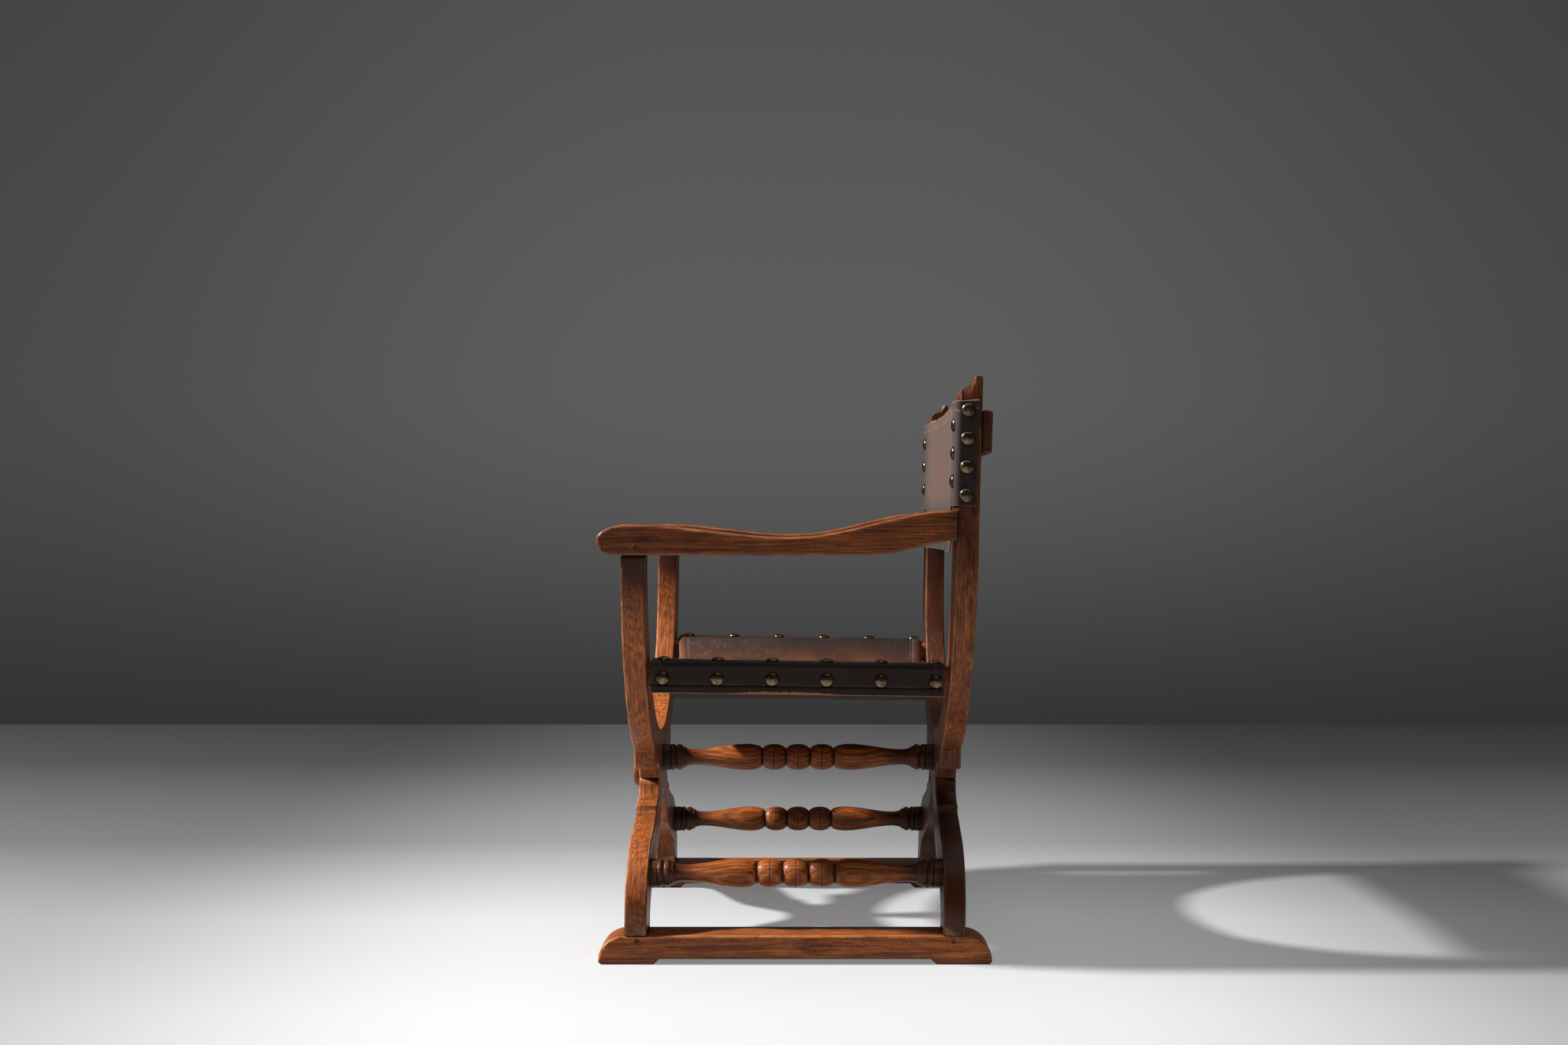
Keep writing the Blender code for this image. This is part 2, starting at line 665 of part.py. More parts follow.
def seat_leather():
    """Sheet over both rails, its front and rear edges drawn in between them."""
    section = seat_section()
    sling_x = section[-SLING_STEPS - 1][0]
    front = FRONT_INNER_Y + SEAT_FRONT_CLEAR
    rear = rear_front_y(RAIL_TOP_Z) - SEAT_REAR_CLEAR
    shape = bmesh.new()
    bmesh.ops.create_grid(shape, x_segments=len(section) - 1, y_segments=SEAT_ROWS, size=0.5)
    for vertex in shape.verts:
        column = round((vertex.co.x + 0.5) * (len(section) - 1))
        share = vertex.co.y + 0.5
        x, z = section[column]
        drawn = max(0.0, 1 - (x / sling_x) ** 2)
        start = front + FRONT_HOLLOW * drawn
        end = rear - REAR_HOLLOW * drawn
        vertex.co = (x, start + (end - start) * share, z)
    leather = add_object("seat_leather", mesh_of("seat_leather", shape), SEAT_FRAME)
    thicken(leather, SEAT_LEATHER)
    return finish(leather, "dark_leather")


def thicken(sheet, thickness):
    """Mirror a half sheet across the chair and give it its thickness, away from the wood."""
    mirror = sheet.modifiers.new("mirror", "MIRROR")
    mirror.use_axis = (True, False, False)
    mirror.merge_threshold = 1e-4
    solid = sheet.modifiers.new("thickness", "SOLIDIFY")
    solid.thickness = thickness
    solid.offset = -1
    solid.use_even_offset = True


# Back: leather panel and board, in the plane of the rear frame


def back_section():
    """Half of the leather's inner face from the end of the tab to the middle, as (x, y)."""
    face = -FRAME_THICKNESS / 2 - GAP
    outer = POST_OUTER + GAP
    lower_half = POST_INNER - BACK_INSET
    places = [lower_half * (1 - i / BACK_STEPS) for i in range(BACK_STEPS + 1)]
    belly = [(x, face + BACK_BELLY * (1 - (x / lower_half) ** 2)) for x in places]
    corner = arc((outer - EDGE, face + EDGE), (EDGE, EDGE), 0, -90, 3)
    return [(outer, face + BACK_TAB), *corner, (POST_OUTER - POST_WIDTH / 2, face), *belly]


def back_leather():
    """Panel nailed round the uprights. Below the notch it is only as wide as the gap between the arms."""
    section = back_section()
    lower_half = POST_INNER - BACK_INSET
    levels = [BACK_BOTTOM_Z]
    levels += [BACK_NOTCH_Z + (BACK_TOP_Z - BACK_NOTCH_Z) * i / BACK_ROWS for i in range(BACK_ROWS + 1)]
    shape = bmesh.new()
    bmesh.ops.create_grid(shape, x_segments=len(section) - 1, y_segments=len(levels) - 1, size=0.5)
    for vertex in shape.verts:
        column = round((vertex.co.x + 0.5) * (len(section) - 1))
        row = round((vertex.co.y + 0.5) * (len(levels) - 1))
        vertex.co = (*section[column], levels[row])
    tabs = [
        face
        for face in shape.faces
        if face.calc_center_median().z < BACK_NOTCH_Z and max(v.co.x for v in face.verts) > lower_half + GAP
    ]
    bmesh.ops.delete(shape, geom=tabs, context="FACES")
    leather = add_object("back_leather", mesh_of("back_leather", shape), REAR_FRAME)
    thicken(leather, BACK_LEATHER)
    return finish(leather, "dark_leather")


def back_brace():
    """Board across the rear faces of the uprights."""
    near = FRAME_THICKNESS / 2 + GAP
    half = POST_OUTER - BRACE_INSET
    low = (-half, near, BRACE_TOP_Z - BRACE_HEIGHT)
    high = (half, near + BRACE_THICKNESS, BRACE_TOP_Z)
    board = add_object("back_brace", block_mesh("back_brace", low, high), REAR_FRAME)
    round_edges(board, BRACE_EDGE)
    return finish(board, "stained_oak")


# Nails


def nail_mesh():
    """Domed head with a square tapered shank, its axis on Z and the underside of the head at 0."""
    dome = arc((0, 0), (NAIL_RADIUS, NAIL_HEIGHT), 90, 0, 3)
    head = add_object("nail_head", profile_mesh("nail_head", [*dome, (0, 0)]), collection=CUTTERS)
    turn_on_lathe(head, NAIL_STEPS)
    shape = bmesh.new()
    point_shank(shape, Matrix.Identity(4), SHANK_RADIUS, SHANK_LENGTH)
    shank = cutter("nail_shank", mesh_of("nail_shank", shape))
    combine(head, shank, "UNION")
    bpy.context.view_layer.update()
    graph = bpy.context.evaluated_depsgraph_get()
    mesh = bpy.data.meshes.new_from_object(head.evaluated_get(graph))
    mesh.name = "dome_nail"
    bpy.data.objects.remove(head)
    bpy.data.objects.remove(shank)
    mesh.shade_smooth()
    mesh.set_sharp_from_angle(angle=math.radians(40))
    mesh.materials.append(bpy.data.materials["aged_brass"])
    return mesh


def point_shank(shape, place, radius, length):
    """Add a square shank that starts inside the head and runs to a blunt point below it."""
    buried = NAIL_HEIGHT / 3
    middle = Matrix.Translation((0, 0, (buried - length) / 2))
    bmesh.ops.create_cone(
        shape,
        cap_ends=True,
        segments=4,
        radius1=radius / 3,
        radius2=radius,
        depth=length + buried,
        matrix=place @ middle,
    )


def nail_row(name, places, direction, parent, pierced):
    """Nails at some places, driven against a direction, with a hole for each shank in what they pierce."""
    turn = Vector(direction).to_track_quat("Z", "Y").to_matrix().to_4x4()
    holes = bmesh.new()
    for number, place in enumerate(places, 1):
        driven = Matrix.Translation(place) @ turn
        nail = add_object(f"{name}_{number}", NAIL, parent)
        nail.matrix_local = driven
        point_shank(holes, driven, SHANK_RADIUS + 2 * GAP, SHANK_LENGTH + GAP)
    hole = cutter(name + "_holes", mesh_of(name + "_holes", holes), parent)
    for piece in pierced:
        combine(piece, hole, "DIFFERENCE")


def spread(first, last, pitch):
    """Places from the first to the last, evenly spaced at about a pitch."""
    steps = max(1, round(abs(last - first) / pitch))
    return [first + (last - first) * i / steps for i in range(steps + 1)]


def seat_nails(side, sign, pierced):
    """A row along the top of the rail and a row along its outer face."""
    first = FRONT_INNER_Y + SEAT_FRONT_CLEAR + SEAT_NAIL_FRONT
    last = rear_front_y(RAIL_TOP_Z) - SEAT_REAR_CLEAR - SEAT_NAIL_REAR
    skin = SEAT_LEATHER + 2 * GAP
    rows = spread(first, last, SEAT_NAIL_PITCH)
    top_x = sign * (RAIL_OUTER - SEAT_NAIL_INSET)
    side_x = sign * (RAIL_OUTER + skin)
    top = [(top_x, y, skin) for y in rows]
    flank = [(side_x, y, -SEAT_NAIL_DROP) for y in rows]
    nail_row(f"seat_top_nail_{side}", top, (0, 0, 1), SEAT_FRAME, pierced)
    nail_row(f"seat_side_nail_{side}", flank, (sign, 0, 0), SEAT_FRAME, pierced)


def back_nails(side, sign, pierced):
    """A column down the outer face of the upright and a column between them down its front face."""
    skin = BACK_LEATHER + 2 * GAP
    flank_x = sign * (POST_OUTER + skin)
    flank_y = BACK_NAIL_SETBACK - FRAME_THICKNESS / 2
    face_x = sign * (POST_OUTER - POST_WIDTH / 2)
    face_y = -FRAME_THICKNESS / 2 - skin
    levels = spread(BACK_TOP_Z - BACK_NAIL_MARGIN, BACK_NOTCH_Z + BACK_NAIL_MARGIN, BACK_NAIL_PITCH)
    between = [(above + below) / 2 for above, below in zip(levels, levels[1:])]
    flank = [(flank_x, flank_y, z) for z in levels]
    face = [(face_x, face_y, z) for z in between]
    nail_row(f"back_side_nail_{side}", flank, (sign, 0, 0), REAR_FRAME, pierced)
    nail_row(f"back_front_nail_{side}", face, (0, -1, 0), REAR_FRAME, pierced)


# Assembly

for old in list(bpy.data.objects):
    bpy.data.objects.remove(old)

CHAIR = bpy.data.collections.new("throne_chair")
CUTTERS = bpy.data.collections.new("cutters")
for folder in (CHAIR, CUTTERS):
    bpy.context.scene.collection.children.link(folder)
make_finishes()

FRONT_FRAME = add_object("front_frame", None)
FRONT_FRAME.location = (0, FRONT_MID_Y, 0)
REAR_FRAME = add_object("rear_frame", None)
REAR_FRAME.location = (0, REAR_MID_Y, 0)
REAR_FRAME.rotation_euler = (-BACK_RAKE, 0, 0)
SEAT_FRAME = add_object("seat_frame", None)
SEAT_FRAME.location = (0, 0, RAIL_TOP_Z)
SEAT_FRAME.rotation_euler = (-SEAT_PITCH, 0, 0)

# The space each frame takes up, which trims whatever butts against it
SLAB = FRAME_THICKNESS / 2 + GAP
FRONT_SLAB = cutter("front_slab", block_mesh("front_slab", (-1, -1, -1), (1, SLAB, 1)), FRONT_FRAME)
REAR_SLAB = cutter("rear_slab", block_mesh("rear_slab", (-1, -SLAB, -1), (1, 1, 1)), REAR_FRAME)

front_legs = cross_frame("front", ARM_BOTTOM_Z - GAP, FRONT_FRAME)
rear_legs = cross_frame("rear", CHAIR_HEIGHT + MARGIN, REAR_FRAME)
top_cut = upright_top_cutter(REAR_FRAME)
for leg in rear_legs.values():
    combine(leg, top_cut, "DIFFERENCE")

seat = seat_leather()
back = back_leather()
back_brace()
NAIL = nail_mesh()

for side, sign in SIDES.items():
    other = "right" if side == "left" else "left"
    foot = foot_rail(side, sign)
    join_leg_to_foot(front_legs[side], foot, f"front_foot_{side}", sign, FRONT_MID_Y)
    rear_y = rear_front_y(FOOT_HEIGHT) + FRAME_THICKNESS / 2
    join_leg_to_foot(rear_legs[side], foot, f"rear_foot_{side}", sign, rear_y)

    # A leg's post is on the side across from its foot
    front_post, rear_post = front_legs[other], rear_legs[other]
    join_arm(arm(side, sign), front_post, rear_post, f"arm_{side}", sign)
    rail = seat_rail(side, sign)
    join_rail(rail, front_post, rear_post, f"seat_rail_{side}", sign)
    seat_nails(side, sign, [seat, rail])
    back_nails(side, sign, [back, rear_post])

    place = sign * STRETCHER_SIDE_X, STRETCHER_SIDE_Z
    stretcher(f"stretcher_{side}", *place, [front_legs[side]], [rear_legs[side]])

stretcher("stretcher_centre", 0, STRETCHER_CENTRE_Z, front_legs.values(), rear_legs.values())
crossing_boss(front_legs.values())
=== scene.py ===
import math

import bmesh
import bpy
from mathutils import Matrix, Vector, noise


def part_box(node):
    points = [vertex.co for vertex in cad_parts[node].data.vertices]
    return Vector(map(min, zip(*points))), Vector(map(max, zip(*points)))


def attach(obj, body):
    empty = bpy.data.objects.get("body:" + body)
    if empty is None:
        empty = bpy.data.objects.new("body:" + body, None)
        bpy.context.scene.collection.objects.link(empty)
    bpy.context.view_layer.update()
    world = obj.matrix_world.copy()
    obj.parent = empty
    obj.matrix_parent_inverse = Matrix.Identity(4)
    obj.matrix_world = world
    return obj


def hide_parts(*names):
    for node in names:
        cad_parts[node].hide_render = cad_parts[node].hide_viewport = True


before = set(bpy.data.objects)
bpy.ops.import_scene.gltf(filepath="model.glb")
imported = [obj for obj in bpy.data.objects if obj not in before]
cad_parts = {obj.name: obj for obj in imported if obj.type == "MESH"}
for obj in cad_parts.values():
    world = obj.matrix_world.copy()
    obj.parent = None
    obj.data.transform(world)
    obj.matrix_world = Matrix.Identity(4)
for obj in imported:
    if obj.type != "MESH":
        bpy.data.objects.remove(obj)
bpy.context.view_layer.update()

# Sled feet: two oak runners that tie each front leg to the rear leg behind it. They are
# sawn with a low arch between two pads, stained brown, waxed, and pegged to the legs.

STAIN_DEEP = (0.175, 0.040, 0.0085)
STAIN_LIGHT = (0.640, 0.180, 0.037)
# The darkest stain, also used to paint shade.
STAIN_AND_SHADE_DARK = (0.070, 0.018, 0.0070)
STAIN_PORE = (0.045, 0.011, 0.0045)
# The pale of oak rubbed through its stain, also used as a painted highlight on edges.
OAK_RUBBED_AND_LIT = (0.640, 0.290, 0.120)
# The colour of old wax, also used to paint shade into hollows and next to other parts.
WAX_AND_SHADE = (0.012, 0.006, 0.0045)
WELD = 2e-5
SAWN_CORNER = 32
RELIEF_DEPTH = 0.0006


def feed(tree, socket, value):
    """Link a node's output to a socket, or set the socket to a plain value."""
    if isinstance(value, bpy.types.NodeSocket):
        tree.links.new(value, socket)
    elif socket.type == "RGBA" and len(value) == 3:
        socket.default_value = (*value, 1)
    else:
        socket.default_value = value


def node(tree, kind, settings=None, **sockets):
    """A shader node with its settings, and a value or link for each socket named."""
    made = tree.nodes.new("ShaderNode" + kind)
    for name, value in (settings or {}).items():
        setattr(made, name, value)
    for name, value in sockets.items():
        feed(tree, made.inputs[name.replace("_", " ")], value)
    return made


def maths(tree, operation, *values):
    """The result of one sum on numbers or sockets."""
    made = node(tree, "Math", {"operation": operation})
    for socket, value in zip(made.inputs, values):
        feed(tree, socket, value)
    return made.outputs[0]


def on_vector(tree, operation, *values):
    """The result of one sum on directions, places or sockets."""
    made = node(tree, "VectorMath", {"operation": operation})
    for socket, value in zip(made.inputs, values):
        feed(tree, socket, value)
    return made.outputs["Value" if operation == "DOT_PRODUCT" else "Vector"]


def blend(tree, share, first, second):
    """The first colour where the share is 0, and the second where it is 1."""
    made = node(tree, "Mix", {"data_type": "RGBA"})
    feed(tree, made.inputs[0], share)
    feed(tree, made.inputs[6], first)
    feed(tree, made.inputs[7], second)
    return made.outputs[2]


def fade(tree, value, low, high, start=0.0, end=1.0):
    """From start to end, smoothly, as the value goes from low to high."""
    made = node(tree, "MapRange", {"interpolation_type": "SMOOTHSTEP"}, Value=value,
                From_Min=low, From_Max=high, To_Min=start, To_Max=end)
    return made.outputs["Result"]


def cloudy(tree, vector, scale, detail=2.0, roughness=0.5):
    """Soft random patches, with about this many in a metre."""
    made = node(tree, "TexNoise", Vector=vector, Scale=scale, Detail=detail,
                Roughness=roughness)
    return made.outputs["Fac"]


def shared_effect(name, inputs, outputs):
    """An empty node group, with the sockets that it is given and the sockets that it fills."""
    tree = bpy.data.node_groups.new(name, "ShaderNodeTree")
    for label, kind in inputs.items():
        tree.interface.new_socket(label, in_out="INPUT", socket_type="NodeSocket" + kind)
    for label, kind in outputs.items():
        tree.interface.new_socket(label, in_out="OUTPUT", socket_type="NodeSocket" + kind)
    given = tree.nodes.new("NodeGroupInput").outputs
    filled = tree.nodes.new("NodeGroupOutput").inputs
    return tree, given, filled


def placed(tree, effect, **sockets):
    """A shared effect put into a material, with its own values."""
    made = tree.nodes.new("ShaderNodeGroup")
    made.node_tree = effect
    for name, value in sockets.items():
        feed(tree, made.inputs[name.replace("_", " ")], value)
    return made.outputs


def object_place(tree):
    """Where a point lies on the chair, in metres."""
    return node(tree, "TexCoord").outputs["Object"]


def oak_grain():
    """Year rings, fibres and pores of a board whose grain runs along Z."""
    tree, given, filled = shared_effect(
        "oak_grain",
        {"Vector": "Vector"},
        {"Rings": "Float", "Fibre": "Float", "Streaks": "Float", "Pores": "Float"},
    )
    along = on_vector(tree, "MULTIPLY", given["Vector"], (1, 1, 0.22))
    bend = node(tree, "TexNoise", Vector=along, Scale=11, Detail=2).outputs["Color"]
    sway = on_vector(tree, "MULTIPLY", on_vector(tree, "SUBTRACT", bend, (0.5, 0.5, 0.5)),
                     (0.022, 0.022, 0))
    bent = on_vector(tree, "ADD", given["Vector"], sway)
    ring_place = on_vector(tree, "MULTIPLY", bent, (1, 1, 0.12))
    rings = node(tree, "TexWave", {"wave_type": "RINGS", "rings_direction": "Z"},
                 Vector=ring_place, Scale=62, Distortion=2.2, Detail=2, Detail_Scale=0.7)
    fibre_place = on_vector(tree, "MULTIPLY", bent, (1, 1, 0.05))
    fibre = cloudy(tree, fibre_place, 330, 4, 0.7)
    pore_place = on_vector(tree, "MULTIPLY", bent, (1, 1, 0.14))
    pore = cloudy(tree, pore_place, 1500, 1, 0.5)
    early = maths(tree, "SUBTRACT", 1, rings.outputs["Fac"])
    reach = maths(tree, "MULTIPLY_ADD", early, 0.10, pore)
    feed(tree, filled["Rings"], rings.outputs["Fac"])
    feed(tree, filled["Fibre"], fade(tree, fibre, 0.34, 0.66))
    feed(tree, filled["Streaks"], fade(tree, cloudy(tree, fibre_place, 120, 3, 0.65), 0.46, 0.66))
    feed(tree, filled["Pores"], fade(tree, reach, 0.60, 0.70))
    return tree


def handling_and_painted_light():
    """Where hands and cloths make a piece pale, with painted highlights on its edges, and where wax and dust
    stay dark, with painted shade in its hollows and close to other parts.
    """
    tree, given, filled = shared_effect(
        "handling_and_painted_light",
        {"Vector": "Vector", "Edge": "Float", "Hollow": "Float", "Dirt": "Float"},
        {"Rubbed_and_lit": "Float", "Grime_and_shade": "Float", "Blotch": "Float"},
    )
    # Painted highlight: convex edges are made paler where light would catch them, as well as where they are
    # worn.
    rounded = node(tree, "Bevel", {"samples": 6}, Radius=given["Edge"]).outputs["Normal"]
    surface = node(tree, "NewGeometry").outputs["True Normal"]
    turn = on_vector(tree, "DOT_PRODUCT", rounded, surface)
    # Painted shade: darker where other surfaces shut out light, as well as for the wax and dust that gather
    # there.
    shelter = node(tree, "AmbientOcclusion", {"samples": 6}, Distance=given["Hollow"])
    open_air = shelter.outputs["AO"]
    patchy = cloudy(tree, given["Vector"], 38, 4, 0.62)
    worn_and_lit = maths(tree, "MULTIPLY", fade(tree, turn, 0.992, 0.90), fade(tree, patchy, 0.32, 0.60))
    feed(tree, filled["Rubbed_and_lit"], maths(tree, "MULTIPLY", worn_and_lit, fade(tree, open_air, 0.55, 0.80)))
    feed(tree, filled["Grime_and_shade"], fade(tree, maths(tree, "SUBTRACT", open_air, given["Dirt"]), 0.62, 0.18))
    feed(tree, filled["Blotch"], fade(tree, cloudy(tree, given["Vector"], 9, 3, 0.6), 0.34, 0.68))
    return tree


OAK_GRAIN = oak_grain()
HANDLING_AND_PAINTED_LIGHT = handling_and_painted_light()


def finish_material(name, **constants):
    """A new material: its tree and its surface shader, with the plain values set on it."""
    material = bpy.data.materials.new(name)
    material.use_nodes = True
    tree = material.node_tree
    shader = tree.nodes["Principled BSDF"]
    for socket, value in constants.items():
        shader.inputs[socket.replace("_", " ")].default_value = value
    return material, tree, shader


def embossed(tree, shader, relief, strength):
    """Raise and sink a surface by the relief of its pattern."""
    bump = node(tree, "Bump", Height=relief, Strength=strength, Distance=RELIEF_DEPTH)
    feed(tree, shader.inputs["Normal"], bump.outputs["Normal"])


def oak(name, turn, heart, stain=0.2, shade_and_stain=(), figure=0.14, roughness=0.40, edge=0.0028,
        hollow=0.030, dirt=0.05):
    """Stained, waxed oak: turn lays the grain along Z, heart moves the tree's heart away, each row of
    shade_and_stain is an axis, two distances along it and how much darker the wood is painted between them,
    as painted shade and as stain, and figure is how much of the pattern comes from the year rings."""
    material, tree, shader = finish_material(name, Specular_IOR_Level=0.24)
    place = object_place(tree)
    turned = node(tree, "Mapping", Vector=place, Rotation=[math.radians(a) for a in turn],
                  Location=heart).outputs["Vector"]
    grain = placed(tree, OAK_GRAIN, Vector=turned)
    use = placed(tree, HANDLING_AND_PAINTED_LIGHT, Vector=place, Edge=edge, Hollow=hollow, Dirt=dirt)
    depth = maths(tree, "MULTIPLY_ADD", use["Blotch"], 0.30, stain)
    # Each row darkens the wood between two distances along an axis: painted shade on the legs, painted shade
    # and stain on the turned rods.
    for axis, start, end, darker in shade_and_stain:
        distance = maths(tree, "ABSOLUTE", node(tree, "SeparateXYZ", Vector=place).outputs[axis])
        depth = maths(tree, "ADD", depth, fade(tree, distance, start, end, 0.0, darker))
    fibres = maths(tree, "MULTIPLY", grain["Fibre"], 1 - figure)
    tone = maths(tree, "MULTIPLY_ADD", grain["Rings"], figure, fibres)
    wood = blend(tree, tone, STAIN_DEEP, STAIN_LIGHT)
    wood = blend(tree, maths(tree, "MULTIPLY_ADD", grain["Streaks"], 0.38, depth), wood, STAIN_AND_SHADE_DARK)
    wood = blend(tree, maths(tree, "MULTIPLY", grain["Pores"], 0.65), wood, STAIN_PORE)
    # Pale edges: partly wear, partly a painted highlight.
    rubbed_and_lit = maths(tree, "MULTIPLY", use["Rubbed_and_lit"], fade(tree, depth, 0.2, 1.0, 0.70, 0.25))
    wood = blend(tree, rubbed_and_lit, wood, OAK_RUBBED_AND_LIT)
    # Painted shade in hollows and next to other parts, together with old wax.
    wood = blend(tree, maths(tree, "MULTIPLY", use["Grime_and_shade"], 0.90), wood, WAX_AND_SHADE)
    feed(tree, shader.inputs["Base Color"], wood)
    dull = maths(tree, "MULTIPLY_ADD", grain["Pores"], 0.25, roughness)
    dull = maths(tree, "MULTIPLY_ADD", grain["Fibre"], -0.08, dull)
    feed(tree, shader.inputs["Roughness"], maths(tree, "MULTIPLY_ADD", use["Grime_and_shade"], 0.25, dull))
    relief = maths(tree, "MULTIPLY_ADD", grain["Pores"], -0.8, maths(tree, "MULTIPLY", grain["Fibre"], 0.35))
    embossed(tree, shader, relief, 0.24)
    return material


def new_piece(name, shape, slot, *materials):
    """Put a finished shape in the scene, with its finish, on the chair's one body. The slot is not used."""
    mesh = bpy.data.meshes.new(name)
    shape.to_mesh(mesh)
    shape.free()
    for material in materials:
        mesh.materials.append(material)
    piece = bpy.data.objects.new(name, mesh)
    bpy.context.scene.collection.objects.link(piece)
    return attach(piece, "root")


def eased(piece, corner):
    """Shade curved faces as one surface, and keep corners that turn by more degrees than this."""
    piece.data.shade_smooth()
    piece.data.set_sharp_from_angle(angle=math.radians(corner))
    soft = piece.modifiers.new("edge_shading", "WEIGHTED_NORMAL")
    soft.keep_sharp = True
    return piece


def sawn(name, part, material):
    """A sawn and planed piece, from the solid of the same part."""
    shape = bmesh.new()
    shape.from_mesh(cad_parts[part].data)
    bmesh.ops.remove_doubles(shape, verts=shape.verts, dist=WELD)
    for face in shape.faces:
        face.material_index = 0
    piece = eased(new_piece(name, shape, "frame_oak", material), SAWN_CORNER)
    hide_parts(part)
    return piece


runner_oak = oak("runner_oak", (90, 0, 0), (0.05, 0.09, 0), stain=0.08)
for side in ("left", "right"):
    sawn(f"runner_{side}", f"foot_rail_{side}", runner_oak)

# Cross legs: each end frame is a pair of sawn oak legs, halved together where they cross.
# A leg curves up from its foot, through the crossing, into the arm post on the other side.

LEG_HEARTS = {"left": (0.36, 0.31, 0), "right": (-0.37, 0.30, 0)}
# Shade painted into the legs by height: the front posts darker under the arms and towards the feet, the rear
# legs darker low down, under the arms and on the lit tops of the uprights.
FRONT_PAINTED_SHADE = (("Z", 0.52, 0.62, 0.95), ("Z", 0.17, 0.05, 0.45))
REAR_PAINTED_SHADE = (("Z", 0.36, 0.20, 0.55), ("Z", 0.52, 0.62, 0.25), ("Z", 0.76, 0.86, 0.30))
# Each leg has its end, the side of its foot, its grain's slant in degrees, how much darker it is made, and
# rows of shade painted along its height.
LEGS = (
    ("front", "left", 32, 0.0, FRONT_PAINTED_SHADE),
    ("front", "right", -32, 0.0, FRONT_PAINTED_SHADE),
    ("rear", "left", 15, 0.80, REAR_PAINTED_SHADE),
    ("rear", "right", -15, 0.25, REAR_PAINTED_SHADE),
)
for end, side, slant, stain, painted_shade in LEGS:
    leg_oak = oak(f"{end}_{side}_leg_oak", (0, slant, 0), LEG_HEARTS[side], stain, painted_shade)
    sawn(f"{end}_leg_{side}", f"{end}_cross_leg_{side}", leg_oak)

# Stretchers: three oak rods turned on the lathe, with grooved beads in the middle, a long
# vase on each side of them, and rings and a round block tenoned into the legs at the ends.

TURNING_STEPS = 56
TURNED_CORNER = 38
ARC_STEPS = 10
RING_STEPS = 8
TAPER_STEPS = 16
BEAD_HALF = 0.0203
BEAD_RADIUS = 0.0220
VALLEY_RADIUS = 0.0136
BEAD_SHOULDER = 15
GROOVE_RADIUS = 0.0204
GROOVE_HALF = 0.0009
VASE_SWELL = 0.0260
VASE_RADIUS = 0.0222
NECK_RADIUS = 0.0130
NECK_END = 0.0540
COVE_END = 0.0370
FILLET_RADIUS = 0.0182
RING_INNER = (0.0227, 0.0325, 0.0190, 0.0216)
RING_OUTER = (0.0125, 0.0205, 0.0195, 0.0222)
BLOCK_RADIUS = 0.0220
BLOCK_EASE = (0.0012, 0.0008)
TENON_LENGTH = 0.0200


def sweep(centre, reach, start, end, steps):
    """Points on an ellipse's arc, from one angle to the other in degrees."""
    turns = [math.radians(start + (end - start) * i / steps) for i in range(steps + 1)]
    return [(centre[0] + reach[0] * math.cos(t), centre[1] + reach[1] * math.sin(t)) for t in turns]


def half_round(start, end, low, high):
    """A small turned ring between two places, low at its sides and high on its crest."""
    middle, half = (start + end) / 2, (end - start) / 2
    return sweep((middle, low), (half, high - low), 180, 0, RING_STEPS)


def smooth(share):
    """Ease a share from 0 to 1 in and out."""
    return share * share * (3 - 2 * share)


def stretcher_half(half):
    """Places and radii of a stretcher, from its middle to the face of the leg."""
    bead_reach = (BEAD_HALF / math.cos(math.radians(BEAD_SHOULDER)),
                  (BEAD_RADIUS - VALLEY_RADIUS) / (1 - math.sin(math.radians(BEAD_SHOULDER))))
    bead_core = BEAD_RADIUS - bead_reach[1]
    crest = math.degrees(math.acos(GROOVE_HALF / bead_reach[0]))
    second = 2 * BEAD_HALF
    vase = 3 * BEAD_HALF + VASE_SWELL
    swell = (VASE_SWELL, VASE_RADIUS - VALLEY_RADIUS)
    neck = half - NECK_END
    cove = (NECK_END - COVE_END, NECK_RADIUS - FILLET_RADIUS)
    block = half - RING_OUTER[0]
    taper = [i / TAPER_STEPS for i in range(1, TAPER_STEPS + 1)]
    rings = half_round(*RING_OUTER) + half_round(*RING_INNER)
    return [
        (0, GROOVE_RADIUS),
        *sweep((0, bead_core), bead_reach, crest, BEAD_SHOULDER, ARC_STEPS),
        *sweep((second, bead_core), bead_reach, 180 - BEAD_SHOULDER, 180 - crest, ARC_STEPS)[1:],
        (second, GROOVE_RADIUS),
        *sweep((second, bead_core), bead_reach, crest, BEAD_SHOULDER, ARC_STEPS),
        *sweep((vase, VALLEY_RADIUS), swell, 180, 90, ARC_STEPS)[1:],
        *[(vase + (neck - vase) * s, VASE_RADIUS + (NECK_RADIUS - VASE_RADIUS) * smooth(s)) for s in taper],
        *sweep((neck, FILLET_RADIUS), cove, 90, 0, RING_STEPS)[1:],
        *[(half - place, radius) for place, radius in rings[::-1]],
        (block, BLOCK_RADIUS - BLOCK_EASE[1]),
        (block + BLOCK_EASE[0], BLOCK_RADIUS),
        (half, BLOCK_RADIUS),
        (half + TENON_LENGTH / 4, BLOCK_RADIUS),
    ]


